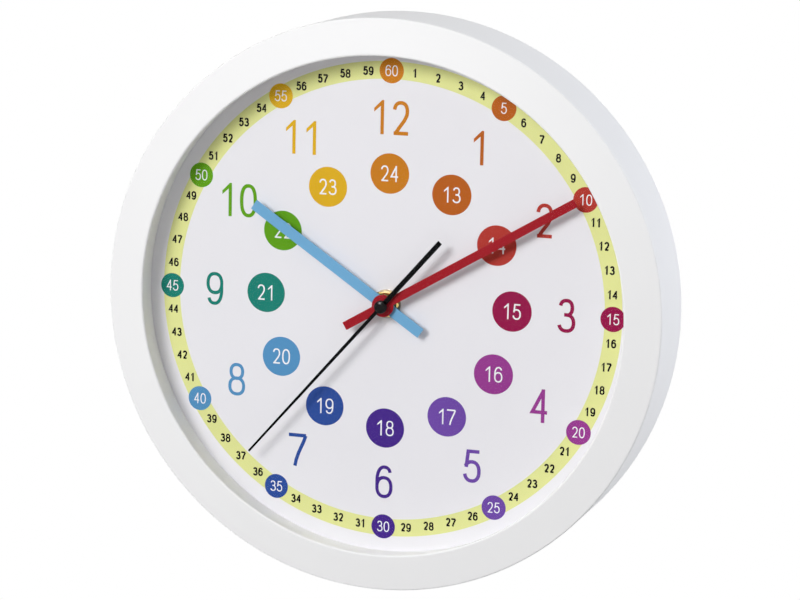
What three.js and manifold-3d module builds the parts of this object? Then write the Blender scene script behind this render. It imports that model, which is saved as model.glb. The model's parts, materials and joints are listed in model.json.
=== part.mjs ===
// Teaching wall clock: a 300 mm round plastic case with a deep well, a printed dial, three hands
// and a quartz movement with a working gear train, in millimetres.
// While it is built, the hands turn about the Y axis, the dial's printed face is at y = 0,
// -Y points out into the room, +Z is up and +X is to the right of someone reading the clock.
// At the end the clock is shifted so that the nail it hangs on is at the origin.

import * as THREE from 'three';
import { mergeVertices, toCreasedNormals } from 'three/addons/utils/BufferGeometryUtils.js';
import Module from 'manifold-3d';

const wasm = await Module();
wasm.setup();

// Fits
const seatGap = 0.1;              // between two still pieces that sit on each other
const runningGap = 0.25;          // between a turning piece and what it turns in or beside
const overrun = 1;                // how far a cutting tool runs past the face it cuts
const weldDistance = 0.0005;

// Facets
const caseSegments = 64;
const hubSegments = 20;
const pinSegments = 10;
const cornerSteps = 2;
const creaseAngle = Math.PI / 6;

// Front frame
const caseRadius = 150;           // at the rear rim
const caseDraft = 0.4;            // how much narrower the side wall is at its front edge
const faceWidth = 19.3;           // from that edge in to the aperture
const faceSlope = 2.4;            // how far the face rises from its outer edge to the aperture
const faceRounding = 1.5;
const faceThickness = 2.4;
const lipReach = 2.3;             // how far the lip stands in from the well's wall
const lipThickness = 2.4;
const wellWall = 2.2;
const sideWall = 2.4;
const rimChamfer = 0.6;

// Screws, and the posts of the frame that they go into
const screwCount = 6;
const screwRadius = 1.3;
const screwLength = 10;
const screwHeadRadius = 2.8;
const screwHeadHeight = 1.8;
const screwHolePlay = 0.5;
const screwPostRadius = 3.6;
const pilotSpare = 3;             // how much deeper the post is bored than the screw is long

// Lens, dial and the plate behind it
const lensThickness = 1.5;
const lensClearance = 1.3;        // between the lens and the cap on the seconds hand
const dialEdgeGap = 0.8;          // between the dial's edge and the screw posts
const dialThickness = 0.4;
const dialPlateThickness = 2;

// Back cover: a flange near the wall, dished forwards in the middle to carry dial and movement
const coverThickness = 2;
const coverInset = 3.4;           // from the rear rim in to the flange
const coverEdgeGap = 0.4;
const dishKeyholeGap = 11.4;      // between the dish's rim and the keyhole's pad
const dishSlope = 16;             // how much wider the dish is at its rim
const pressRingWall = 2;          // ring that presses the dial plate against the well
const ribCount = 8;
const ribThickness = 1.6;
const ribFloorShare = 0.66;       // of the dish's floor between the housing's corner and the slope
const ribHeight = 14;

// Keyhole in the back cover
const keyholeInset = 5.5;         // from the press ring down to the keyhole's pad
const keyholeSlotRadius = 2.3;
const keyholeEntryRadius = 4.6;
const keyholeDrop = 11;           // from the nail's seat down to the entry
const keyholePadMargin = 4;
const keyholePadHeight = 1.2;

// Movement housing
const housingWall = 1.2;
const housingCorner = 3.5;
const gasketThickness = 1;
const gasketSize = 34;
const lidThickness = 1.2;
const wallClearance = 2.45;       // between the setting knob and the wall that the clock hangs on

// Arbors and tubes, one inside the other
const secondsArborRadius = 0.5;
const tubePlay = 0.3;             // between an arbor or tube and the tube round it
const minuteTubeWall = 0.8;
const hourTubeWall = 0.6;
const stemWall = 1.2;
const tubeReach = 0.6;            // how far each tube or arbor passes its hand
const pivotRadius = 0.5;
const pivotPlay = 0.15;
const knobArborRadius = 0.8;
const bearingWall = 0.9;
const bearingReach = 1.4;
const lidBossReach = 0.6;

// Stem, nut and washer
const stemShow = 0.7;             // past the nut
const stemFlangeReach = 1.4;
const stemFlangeThickness = 0.6;
const washerMargin = 3.6;
const washerThickness = 0.5;
const nutWall = 2.3;              // at the flats
const nutThickness = 2.2;
const nutChamfer = 0.5;

// Teeth
const addendumShare = 0.8;        // of the module
const dedendumShare = 1.15;       // of the module
const toothTipShare = 0.12;       // half a tooth, of the tooth pitch
const wheelRootShare = 0.32;
const pinionRootShare = 0.23;
const pinionWidth = 0.8;          // along the arbor
const wheelWidth = 0.6;
const levelGap = 0.7;             // between one wheel and the next along the arbors
const arborClearance = 0.3;       // between a wheel's teeth and an arbor that passes them

// Train from the rotor to the seconds wheel, and on to the centre wheel
const rotorPinionTeeth = 6;
const intermediateWheelTeeth = 36;
const intermediatePinionTeeth = 6;
const secondsWheelTeeth = 30;
const secondsPinionTeeth = 6;
const thirdWheelTeeth = 45;
const thirdPinionTeeth = 6;
const centreWheelTeeth = 48;
const secondsModule = 0.4;

// Motion works, from the minute tube to the hour wheel
const cannonPinionTeeth = 8;
const minuteWheelTeeth = 24;
const minutePinionTeeth = 8;
const hourWheelTeeth = 32;
const minuteModule = 0.6;

// Directions from one arbor to the next, anticlockwise from +X as seen from the front
const thirdDirection = THREE.MathUtils.degToRad(150);
const minuteDirection = THREE.MathUtils.degToRad(20);
const intermediateDirection = THREE.MathUtils.degToRad(90);
const rotorDirection = THREE.MathUtils.degToRad(150);

// Bearing plate and the posts that carry it
const bearingPlateThickness = 0.8;
const postRadius = 1.3;
const platePostGap = 1.7;         // between these posts and the stator's sides
const platePostRise = 3.6;        // above the battery bay's divider
const platePostOver = 4.2;        // above the rotor's arbor

// Rotor magnet, stator and coil
const magnetRadius = 2.8;
const magnetLength = 1.9;
const statorThickness = 0.8;
const statorLobeWall = 1.7;
const statorBarHeight = 4.2;
const statorLegWidth = 4;
const statorPostRadius = 1.1;
const statorPostDrop = 4.1;       // from the coil's axis down to the posts behind the stator
const coilLength = 19;
const coilEndGap = 0.5;
const coilRise = 2.1;             // between the stator's bar and the coil
const coilTopGap = 2.7;           // between the coil and the housing's wall
const coilTurns = 8;
const coreRadius = 1.2;
const bobbinWall = 0.5;
const windingDepth = 1.3;
const bobbinFlange = 0.8;
const bobbinFlangeReach = 0.5;

// Circuit board
const boardThickness = 0.8;
const boardWidth = 9;
const boardEndGap = 0.8;
const boardOverCoil = 0.4;        // how much higher its middle is than the coil's
const boardCoilGap = 0.8;         // between the board and the coil behind it
const boardPostInset = 6;
const chipRadius = 2.6;
const chipHeight = 0.9;
const chipDomeShares = [[0, 1], [0.6, 0.85], [0.9, 0.4], [1, 0], [0, 0]];   // of its radius and height
const crystalRadius = 1;
const crystalLength = 6;
const partOffset = 9;             // from the board's middle to the chip and to the crystal

// AA battery, its bay and its contacts
const batteryRadius = 7.15;
const batteryLength = 48.6;       // without the nub
const batteryShoulder = 0.8;
const batteryNubRadius = 2.7;
const batteryNubLength = 1.5;
const batteryPlay = 0.3;          // at each end
const batteryProud = 0.3;         // how far it stands out of the housing's back
const bayPlay = 0.4;
const bayFloor = 1;
const bayDivider = 1.1;
const contactThickness = 0.3;
const contactWidth = 8;
const contactLegWidth = 3;
const springReach = 2.4;          // how far the sprung contact stands off the bay's end

// Setting knob
const knobRadius = 6.4;
const knobThickness = 2.6;
const knobGrips = 20;
const knobGripDepth = 0.5;
const knobHubLength = 0.5;

// Hands
const handThickness = 0.5;
const handGap = 1.75;             // between one hand and the next
const stemHandGap = 1.1;          // between the stem's end and the hour hand
const hourHandTipGap = 45.4;      // from the well's wall to the tip
const hourHandTail = 24.2;
const hourHandWidth = 5.5;
const hourHandHub = 4.9;
const minuteHandTipGap = 15;
const minuteHandTail = 24.1;
const minuteHandWidth = 4.4;
const minuteHandHub = 5.9;
const secondsHandTipGap = 22.2;
const secondsHandTail = 46.7;
const secondsHandWidth = 2.3;     // at the tail
const secondsHandNeck = 1.5;      // in front of the hub
const secondsHandTip = 0.7;
const secondsHandHub = 2.4;
const secondsCapRadius = 3;
const secondsCapHeight = 2.9;

// Where the hands stand, clockwise from 12
const hourHandAngle = THREE.MathUtils.degToRad(303.9);
const minuteHandAngle = THREE.MathUtils.degToRad(59.4);
const secondsHandAngle = THREE.MathUtils.degToRad(221.5);

// Radii that follow from the sizes above
const caseFrontRadius = caseRadius - caseDraft;
const apertureRadius = caseFrontRadius - faceWidth;
const wellRadius = apertureRadius + lipReach;
const wellOuterRadius = wellRadius + wellWall;
const coverRadius = caseRadius - sideWall - coverEdgeGap;
const screwCircleRadius = (wellOuterRadius + caseRadius - sideWall) / 2;
const dialRadius = screwCircleRadius - screwPostRadius - dialEdgeGap;
const pressRingInner = wellOuterRadius - pressRingWall;
const keyholePadRadius = keyholeEntryRadius + keyholePadMargin;
const keyholeHeight = pressRingInner - keyholeInset - keyholePadRadius + keyholeSlotRadius;
const dishTopRadius = keyholeHeight - keyholeDrop - keyholePadRadius - dishKeyholeGap;
const dishFloorRadius = dishTopRadius - dishSlope;

const minuteTubeBore = secondsArborRadius + tubePlay;
const minuteTubeRadius = minuteTubeBore + minuteTubeWall;
const hourTubeBore = minuteTubeRadius + tubePlay;
const hourTubeRadius = hourTubeBore + hourTubeWall;
const stemBoreRadius = hourTubeRadius + tubePlay;
const stemRadius = stemBoreRadius + stemWall;
const stemHole = stemRadius + seatGap;

const bobbinSleeveRadius = coreRadius + bobbinWall;
const coilRadius = bobbinSleeveRadius + windingDepth;
const bobbinFlangeRadius = coilRadius + bobbinFlangeReach;
const statorBore = magnetRadius + 2 * runningGap;

// Modules and distances of the gears. The hour wheel sets how close the third arbor may come,
// and the seconds arbor sets how large the intermediate wheel may be.
const minuteDistance = (cannonPinionTeeth + minuteWheelTeeth) * minuteModule / 2;
const hourModule = 2 * minuteDistance / (minutePinionTeeth + hourWheelTeeth);
const hourWheelTip = (hourWheelTeeth / 2 + addendumShare) * hourModule;
const thirdDistance = hourWheelTip + arborClearance + pivotRadius;
const thirdModule = 2 * thirdDistance / (secondsPinionTeeth + thirdWheelTeeth);
const centreModule = 2 * thirdDistance / (thirdPinionTeeth + centreWheelTeeth);
const intermediateDistance = (intermediatePinionTeeth + secondsWheelTeeth) * secondsModule / 2;
const intermediateWheelTip = intermediateDistance - secondsArborRadius - arborClearance;
const rotorModule = intermediateWheelTip / (intermediateWheelTeeth / 2 + addendumShare);
const rotorDistance = (rotorPinionTeeth + intermediateWheelTeeth) * rotorModule / 2;

// A place in the dial's plane, x to the right and z up
const polar = (distance, direction) => [distance * Math.cos(direction), distance * Math.sin(direction)];
const handsAxis = [0, 0];
const thirdAxis = polar(thirdDistance, thirdDirection);
const minuteAxis = polar(minuteDistance, minuteDirection);
const intermediateAxis = polar(intermediateDistance, intermediateDirection);
const rotorStep = polar(rotorDistance, rotorDirection);
const rotorAxis = [intermediateAxis[0] + rotorStep[0], intermediateAxis[1] + rotorStep[1]];

// Widths and heights inside the housing, which is as large as its train and its battery need
const statorHalfWidth = coilLength / 2 + coilEndGap + statorLegWidth;
const coilHeight = rotorAxis[1] + statorBarHeight + coilRise + bobbinFlangeRadius;
const bayHalf = batteryPlay + seatGap
  + (contactThickness + springReach + batteryLength + batteryNubLength) / 2;
const pocketHalf = Math.max(bayHalf, coilHeight + bobbinFlangeRadius + coilTopGap);
const housingHalf = pocketHalf + housingWall;
const bayHeight = 2 * (batteryRadius + bayPlay);
const bayBottom = -pocketHalf;
const bayTop = bayBottom + bayHeight;
const batteryHeight = bayBottom + bayHeight / 2;
const trainBottom = bayTop + bayDivider;
const boardHalf = bayHalf - boardEndGap;
const boardHeight = coilHeight + boardOverCoil;
const platePostPlace = statorHalfWidth + postRadius + platePostGap;
const platePostBottom = trainBottom + platePostRise;
const platePostTop = rotorAxis[1] + platePostOver;

// Levels of y, from the dial back to the wall
const dialPlateFront = dialThickness + seatGap;
const coverFloorFront = dialPlateFront + dialPlateThickness + seatGap;
const coverFloorBack = coverFloorFront + coverThickness;
const gasketFront = coverFloorBack + seatGap;
const lidFront = gasketFront + gasketThickness + seatGap;
const lidBack = lidFront + lidThickness;
const housingFront = lidBack + seatGap;

const wheelStep = wheelWidth + levelGap;
const pinionOverhang = (pinionWidth - wheelWidth) / 2;
const hourWheelFront = lidBack + lidBossReach + runningGap + pinionOverhang;
const minuteWheelFront = hourWheelFront + wheelStep;
const centreWheelFront = minuteWheelFront + wheelStep;
const thirdWheelFront = centreWheelFront + wheelStep;
const plateFront = thirdWheelFront + wheelStep;
const plateBack = plateFront + bearingPlateThickness;
const secondsWheelFront = plateBack + levelGap;
const intermediateWheelFront = secondsWheelFront + wheelStep;
const magnetFront = intermediateWheelFront + wheelStep;
const magnetBack = magnetFront + magnetLength;
const statorFront = (magnetFront + magnetBack - statorThickness) / 2;
const statorBack = statorFront + statorThickness;
const coilLevel = statorFront - seatGap - coreRadius;
const boardBack = coilLevel - bobbinFlangeRadius - boardCoilGap;
const boardFront = boardBack - boardThickness;

const trainDepth = magnetBack + runningGap + bearingReach + housingWall - housingFront;
const bayDepth = bayFloor + seatGap + 2 * batteryRadius - batteryProud;
const housingBack = housingFront + Math.max(trainDepth, bayDepth);
const housingInside = housingBack - housingWall;
const batteryLevel = housingBack + batteryProud - batteryRadius;
const bayFloorLevel = batteryLevel - batteryRadius - seatGap;
const knobFront = housingBack + runningGap;
const knobBack = knobFront + knobHubLength + knobThickness;
const caseBehindDial = knobBack + wallClearance;
const flangeBack = caseBehindDial - coverInset;
const flangeFront = flangeBack - coverThickness;

// Heights above the dial, out to the lip of the case
const washerFront = -seatGap - washerThickness;
const nutFront = washerFront - seatGap - nutThickness;
const stemReach = stemShow - nutFront;
const hourHandLevel = stemReach + stemHandGap;
const minuteHandLevel = hourHandLevel + handThickness + handGap;
const secondsHandLevel = minuteHandLevel + handThickness + handGap;
const capLevel = secondsHandLevel + handThickness + seatGap;
const lensLevel = capLevel + secondsCapHeight + lensClearance;
const lipLevel = lensLevel + lensThickness + seatGap;
const faceInnerHeight = lipLevel + lipThickness;
const faceOuterHeight = faceInnerHeight - faceSlope;

const hourHandReach = wellRadius - hourHandTipGap;
const minuteHandReach = wellRadius - minuteHandTipGap;
const secondsHandReach = wellRadius - secondsHandTipGap;

// Solids and meshes

// A closed solid from a three.js geometry, with its shared corners merged and flat faces dropped
function solidOf(geometry) {
  const bare = geometry.clone();
  for (const name of ['normal', 'uv']) bare.deleteAttribute(name);
  const merged = mergeVertices(bare, weldDistance);
  const corners = merged.index.array;
  const faces = [];
  for (let i = 0; i < corners.length; i += 3) {
    const [a, b, c] = [corners[i], corners[i + 1], corners[i + 2]];
    if (a !== b && b !== c && c !== a) faces.push(a, b, c);
  }
  const points = merged.getAttribute('position').array;
  if (enclosedVolume(points, faces) < 0) faces.reverse();
  return new wasm.Manifold(new wasm.Mesh({
    numProp: 3,
    vertProperties: new Float32Array(points),
    triVerts: new Uint32Array(faces),
  }));
}

// Six times the volume inside the faces, negative where they point inwards
function enclosedVolume(points, faces) {
  const [a, b, c] = [new THREE.Vector3(), new THREE.Vector3(), new THREE.Vector3()];
  let volume = 0;
  for (let i = 0; i < faces.length; i += 3) {
    a.fromArray(points, 3 * faces[i]);
    b.fromArray(points, 3 * faces[i + 1]);
    c.fromArray(points, 3 * faces[i + 2]);
    volume += a.dot(b.cross(c));
  }
  return volume;
}

function geometryOf(solid) {
  const { vertProperties, triVerts } = solid.getMesh();
  const geometry = new THREE.BufferGeometry();
  geometry.setAttribute('position', new THREE.BufferAttribute(vertProperties, 3));
  geometry.setIndex(new THREE.BufferAttribute(triVerts, 1));
  return toCreasedNormals(geometry, creaseAngle);
}

const joined = (...solids) => solids.reduce((sum, solid) => sum.add(solid));
const cut = (solid, ...tools) => tools.reduce((rest, tool) => rest.subtract(tool), solid);

// A profile of [radius, y] corners turned about an axis along Y through the place [x, z]
function turned(profile, segments, [x, z] = handsAxis) {
  const points = profile.map(([radius, y]) => new THREE.Vector2(radius, y));
  if (profile[0][0] > 0) points.push(points[0].clone());
  const geometry = new THREE.LatheGeometry(points, segments);
  geometry.translate(x, 0, z);
  return solidOf(geometry);
}

// A round bar or disc between two levels of y
function disc(radius, front, back, segments, place = handsAxis) {
  return turned([[0, front], [radius, front], [radius, back], [0, back]], segments, place);
}

function tube(outer, inner, front, back, segments, place = handsAxis) {
  return turned([[inner, front], [outer, front], [outer, back], [inner, back]], segments, place);
}

// A flat outline in the dial's plane, given depth from one level of y to another
function plate(shape, front, back, curveSegments = cornerSteps) {
  const geometry = new THREE.ExtrudeGeometry(shape, {
    depth: back - front, bevelEnabled: false, curveSegments,
  });
  geometry.rotateX(Math.PI / 2);
  geometry.translate(0, back, 0);
  return solidOf(geometry);
}

function outline(corners) {
  return new THREE.Shape(corners.map(([x, z]) => new THREE.Vector2(x, z)));
}

function block([left, right], [front, back], [bottom, top]) {
  const geometry = new THREE.BoxGeometry(right - left, back - front, top - bottom);
  geometry.translate((left + right) / 2, (front + back) / 2, (bottom + top) / 2);
  return solidOf(geometry);
}

// A rectangle with round corners
function roundedShape(halfWidth, halfHeight, corner) {
  const shape = new THREE.Shape();
  const [x, z] = [halfWidth - corner, halfHeight - corner];
  shape.absarc(x, z, corner, 0, Math.PI / 2);
  shape.absarc(-x, z, corner, Math.PI / 2, Math.PI);
  shape.absarc(-x, -z, corner, Math.PI, 1.5 * Math.PI);
  shape.absarc(x, -z, corner, 1.5 * Math.PI, 2 * Math.PI);
  return shape;
}

// An upright slot with round ends
function slotShape(radius, bottom, top) {
  const shape = new THREE.Shape();
  shape.absarc(0, top, radius, 0, Math.PI);
  shape.absarc(0, bottom, radius, Math.PI, 2 * Math.PI);
  return shape;
}

// Gears

// The outline of a gear: each tooth is a trapezium from the root circle to the tip circle
function gearShape(teeth, module, rootShare, phase) {
  const pitchRadius = teeth * module / 2;
  const root = pitchRadius - dedendumShare * module;
  const tip = pitchRadius + addendumShare * module;
  const step = 2 * Math.PI / teeth;
  const corners = [];
  for (let tooth = 0; tooth < teeth; tooth += 1) {
    const middle = phase + tooth * step;
    corners.push(polar(root, middle - rootShare * step), polar(tip, middle - toothTipShare * step));
    corners.push(polar(tip, middle + toothTipShare * step), polar(root, middle + rootShare * step));
  }
  return outline(corners);
}

const gear = (teeth, module, rootShare, width, level, phase, [x, z]) =>
  plate(gearShape(teeth, module, rootShare, phase), level, level + width).translate([x, 0, z]);

const wheel = (teeth, module, level, phase, place) =>
  gear(teeth, module, wheelRootShare, wheelWidth, level, phase, place);

// A pinion is wider than the wheel that it meets, by the same amount at both faces
const pinion = (teeth, module, level, phase, place) =>
  gear(teeth, module, pinionRootShare, pinionWidth, level - pinionOverhang, phase, place);

// The phase that puts the second gear's gap on the first gear's tooth, along the line of centres
function meshedPhase(firstTeeth, firstPhase, direction, secondTeeth) {
  return direction + Math.PI - ((firstPhase - direction) * firstTeeth + Math.PI) / secondTeeth;
}

// Case

function rounding(centreRadius, centreLevel, radius, from, to) {
  const points = [];
  for (let i = 0; i <= cornerSteps; i += 1) {
    const angle = from + (to - from) * i / cornerSteps;
    points.push([centreRadius + radius * Math.cos(angle), centreLevel + radius * Math.sin(angle)]);
  }
  return points;
}

const screwAngles = Array.from({ length: screwCount }, (_, i) => Math.PI / screwCount * (2 * i + 1));
const screwPlaces = screwAngles.map((angle) => polar(screwCircleRadius, angle));

function frontFrame() {
  const outerCorner = rounding(
    caseFrontRadius - faceRounding, -faceOuterHeight + faceRounding, faceRounding, 0, -Math.PI / 2);
  const innerCorner = rounding(
    apertureRadius + faceRounding, -faceInnerHeight + faceRounding, faceRounding, -Math.PI / 2, -Math.PI);
  const faceInside = -faceOuterHeight + faceThickness;
  const shell = turned([
    [caseRadius - rimChamfer, caseBehindDial],
    [caseRadius, caseBehindDial - rimChamfer],
    ...outerCorner,
    ...innerCorner,
    [apertureRadius, -lipLevel],
    [wellRadius, -lipLevel],
    [wellRadius, -seatGap],
    [wellOuterRadius, -seatGap],
    [wellOuterRadius, faceInside],
    [caseFrontRadius - sideWall, faceInside],
    [caseRadius - sideWall, caseBehindDial],
  ], caseSegments);
  const posts = screwPlaces.map((place) =>
    disc(screwPostRadius, faceInside - seatGap, flangeFront - seatGap, pinSegments, place));
  const pilotDepth = screwLength + pilotSpare;
  const pilots = screwPlaces.map((place) =>
    disc(screwRadius + seatGap, flangeFront - pilotDepth, flangeFront + overrun, pinSegments, place));
  return cut(joined(shell, ...posts), ...pilots);
}

// The lens lies behind the lip, with a little play round its edge
const lens = () => disc(wellRadius - 3 * seatGap, -lensLevel - lensThickness, -lensLevel, caseSegments);

// A round sheet with a hole for the stem
const sheet = (front, back) => cut(
  disc(dialRadius, front, back, caseSegments), disc(stemHole, front - overrun, back + overrun, hubSegments));

const dialSheet = () => sheet(0, dialThickness);
const dialPlate = () => sheet(dialPlateFront, dialPlateFront + dialPlateThickness);

// A slot as long as the keyhole, from its entry up to the nail's seat
const keyholeSlot = (radius, front, back) => plate(
  slotShape(radius, keyholeHeight - keyholeDrop, keyholeHeight - keyholeSlotRadius),
  front, back, hubSegments / 2);

function keyholeTool(front, back) {
  const entry = disc(keyholeEntryRadius, front, back, hubSegments, [0, keyholeHeight - keyholeDrop]);
  return joined(keyholeSlot(keyholeSlotRadius, front, back), entry);
}

// A gusset that stands on the dish's floor and leans on its sloping side
function coverRib(angle) {
  const lean = dishSlope / (flangeFront - coverFloorFront);
  const foot = dishFloorRadius - coverThickness / 2;
  const freeFloor = foot - housingHalf * Math.SQRT2;
  const corners = [
    [foot - freeFloor * ribFloorShare, coverFloorBack - seatGap],
    [foot, coverFloorBack - seatGap],
    [foot + ribHeight * lean, coverFloorBack + ribHeight],
  ];
  const geometry = new THREE.ExtrudeGeometry(outline(corners), { depth: ribThickness, bevelEnabled: false });
  geometry.translate(0, 0, -ribThickness / 2);
  geometry.rotateY(angle);
  return solidOf(geometry);
}

function backCover() {
  const shell = turned([
    [stemHole, coverFloorFront],
    [dishFloorRadius, coverFloorFront],
    [dishTopRadius, flangeFront],
    [pressRingInner, flangeFront],
    [pressRingInner, coverFloorFront],
    [wellOuterRadius, coverFloorFront],
    [wellOuterRadius, flangeFront],
    [coverRadius, flangeFront],
    [coverRadius, flangeBack],
    [dishTopRadius - coverThickness, flangeBack],
    [dishFloorRadius - coverThickness, coverFloorBack],
    [stemHole, coverFloorBack],
  ], caseSegments);
  const ribs = Array.from({ length: ribCount }, (_, i) => coverRib(2 * Math.PI * (i + 0.5) / ribCount));
  const padBack = flangeBack + keyholePadHeight;
  const pad = keyholeSlot(keyholePadRadius, flangeFront + seatGap, padBack);
  const holes = screwPlaces.map((place) => disc(
    screwRadius + screwHolePlay, flangeFront - overrun, flangeBack + overrun, pinSegments, place));
  return cut(joined(shell, pad, ...ribs), keyholeTool(flangeFront - overrun, padBack + overrun), ...holes);
}

function screw(place) {
  const underHead = flangeBack + seatGap;
  const top = underHead + screwHeadHeight;
  return turned([
    [0, underHead - screwLength],
    [screwRadius, underHead - screwLength + screwRadius],
    [screwRadius, underHead],
    [screwHeadRadius, underHead],
    [screwHeadRadius, underHead + screwHeadHeight / 2],
    [screwHeadRadius - screwHeadHeight / 2, top],
    [0, top],
  ], pinSegments, place);
}

// Stem, nut and gaskets

function threadedStem() {
  const flangeFrontFace = lidBack + seatGap;
  return turned([
    [stemBoreRadius, -stemReach],
    [stemRadius, -stemReach],
    [stemRadius, flangeFrontFace],
    [stemRadius + stemFlangeReach, flangeFrontFace],
    [stemRadius + stemFlangeReach, flangeFrontFace + stemFlangeThickness],
    [stemBoreRadius, flangeFrontFace + stemFlangeThickness],
  ], hubSegments);
}

const stemWasher = () => tube(stemRadius + washerMargin, stemHole, washerFront, -seatGap, hubSegments);

function stemNut() {
  const front = nutFront;
  const back = front + nutThickness;
  const corner = (stemRadius + nutWall) / Math.cos(Math.PI / 6);
  const hexagon = outline(Array.from({ length: 6 }, (_, i) => polar(corner, Math.PI / 6 + i * Math.PI / 3)));
  const chamfered = turned([
    [0, front], [corner - nutChamfer * 2, front], [corner, front + nutChamfer],
    [corner, back - nutChamfer], [corner - nutChamfer * 2, back], [0, back],
  ], hubSegments);
  return cut(plate(hexagon, front, back).intersect(chamfered),
    disc(stemHole, front - overrun, back + overrun, hubSegments));
}

function rubberGasket() {
  const square = plate(roundedShape(gasketSize / 2, gasketSize / 2, housingCorner), gasketFront,
    gasketFront + gasketThickness);
  return cut(square, disc(stemHole, gasketFront - overrun, lidFront + overrun, hubSegments));
}

// Movement housing

// The boss round a pivot's bearing hole
const bearing = (place, radius, front, back) =>
  disc(radius + pivotPlay + bearingWall, front, back, pinSegments, place);

const pivotHole = (place, radius, front, back) =>
  disc(radius + pivotPlay, front, back, pinSegments, place);

// The rear bosses start inside the wall, so that they join it
const bossRoot = housingWall / 2;
const platePosts = [platePostBottom, platePostTop].flatMap((z) => [
  [-platePostPlace, z], [platePostPlace, z]]);
const boardPosts = [-1, 1].map((side) => [side * (boardHalf - boardPostInset), boardHeight]);
const statorPosts = [-1, 1].map((side) => [
  side * (statorHalfWidth - statorLegWidth / 2), coilHeight - statorPostDrop]);

// The housing's square outline, drawn in by the thickness of what lies round it
const housingShape = (inset) => roundedShape(housingHalf - inset, housingHalf - inset, housingCorner - inset);

function movementLid() {
  const flat = plate(housingShape(0), lidFront, lidBack);
  const bosses = [thirdAxis, minuteAxis].map((place) =>
    bearing(place, pivotRadius, lidBack - bossRoot, lidBack + lidBossReach));
  const holes = [thirdAxis, minuteAxis].map((place) =>
    pivotHole(place, pivotRadius, lidBack - bossRoot, lidBack + lidBossReach + overrun));
  const stemPassage = disc(stemHole, lidFront - overrun, lidBack + overrun, hubSegments);
  return cut(joined(flat, ...bosses), stemPassage, ...holes);
}

// The part of the housing's inside between two heights and two levels
const pocket = ([front, back], [bottom, top]) => plate(housingShape(housingWall), front, back).intersect(
  block([-pocketHalf, pocketHalf], [front, back], [bottom, top]));

// A slot in the divider beside each end of the bay, for the contact's leg
function contactSlot(side) {
  const ends = [side * bayHalf, side * (bayHalf - contactThickness - 4 * seatGap)].sort((a, b) => a - b);
  const half = contactLegWidth / 2 + seatGap;
  return block(ends, [batteryLevel - half, batteryLevel + half], [bayTop - overrun, trainBottom + overrun]);
}

function movementShell() {
  const body = plate(housingShape(0), housingFront, housingBack);
  const trainPocket = pocket([housingFront - overrun, housingInside], [trainBottom, pocketHalf]);
  const bayOpening = [bayFloorLevel, housingBack + overrun];
  const batteryBay = pocket(bayOpening, [bayBottom, bayTop]).intersect(
    block([-bayHalf, bayHalf], bayOpening, [bayBottom, bayTop]));
  const hollow = cut(body, trainPocket, batteryBay);

  const rearArbors = [handsAxis, intermediateAxis, rotorAxis];
  const bosses = rearArbors.map((place) =>
    bearing(place, pivotRadius, housingInside - bearingReach, housingInside + bossRoot));
  const post = (radius, seat, place) =>
    disc(radius, seat + seatGap, housingInside + bossRoot, pinSegments, place);
  const posts = [
    ...platePosts.map((place) => post(postRadius, plateBack, place)),
    ...boardPosts.map((place) => post(postRadius, boardBack, place)),
    ...statorPosts.map((place) => post(statorPostRadius, statorBack, place)),
  ];

  const pivots = rearArbors.map((place) =>
    pivotHole(place, pivotRadius, housingInside - bearingReach - overrun, housingInside));
  const knobHole = pivotHole(minuteAxis, knobArborRadius, housingInside - overrun, housingBack + overrun);
  return cut(joined(hollow, ...bosses, ...posts), ...pivots, knobHole, contactSlot(-1), contactSlot(1));
}

function bearingPlate() {
  const half = platePostPlace + postRadius;
  const plain = block([-half, half], [plateFront, plateBack],
    [platePostBottom - postRadius, platePostTop + postRadius]);
  const holes = [
    [handsAxis, secondsArborRadius], [thirdAxis, pivotRadius], [intermediateAxis, pivotRadius],
    [rotorAxis, pivotRadius], [minuteAxis, knobArborRadius],
  ].map(([place, radius]) => pivotHole(place, radius, plateFront - overrun, plateBack + overrun));
  return cut(plain, ...holes);
}

// Gear train, phase by phase: the hands' own gears start at zero

const secondsWheelPhase = 0;
const secondsPinionPhase = 0;
const cannonPhase = 0;
const intermediatePinionPhase = meshedPhase(
  secondsWheelTeeth, secondsWheelPhase, intermediateDirection, intermediatePinionTeeth);
const intermediateWheelPhase = 0;
const rotorPinionPhase = meshedPhase(
  intermediateWheelTeeth, intermediateWheelPhase, rotorDirection, rotorPinionTeeth);
const thirdWheelPhase = meshedPhase(secondsPinionTeeth, secondsPinionPhase, thirdDirection, thirdWheelTeeth);
const centreWheelPhase = 0;
const thirdPinionPhase = meshedPhase(centreWheelTeeth, centreWheelPhase, thirdDirection, thirdPinionTeeth);
const minuteWheelPhase = meshedPhase(cannonPinionTeeth, cannonPhase, minuteDirection, minuteWheelTeeth);
const hourWheelPhase = 0;
const minutePinionPhase = meshedPhase(hourWheelTeeth, hourWheelPhase, minuteDirection, minutePinionTeeth);

const rearPivotEnd = housingInside - runningGap;
const lidPivotEnd = lidBack - bossRoot + runningGap;

function secondsWheel() {
  const arborFront = -secondsHandLevel - handThickness;
  return joined(
    disc(secondsArborRadius, arborFront, rearPivotEnd, pinSegments),
    wheel(secondsWheelTeeth, secondsModule, secondsWheelFront, secondsWheelPhase, handsAxis),
    pinion(secondsPinionTeeth, thirdModule, thirdWheelFront, secondsPinionPhase, handsAxis));
}

function intermediateWheel() {
  const place = intermediateAxis;
  return joined(
    disc(pivotRadius, plateFront, rearPivotEnd, pinSegments, place),
    pinion(intermediatePinionTeeth, secondsModule, secondsWheelFront, intermediatePinionPhase, place),
    wheel(intermediateWheelTeeth, rotorModule, intermediateWheelFront, intermediateWheelPhase, place));
}

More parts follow.
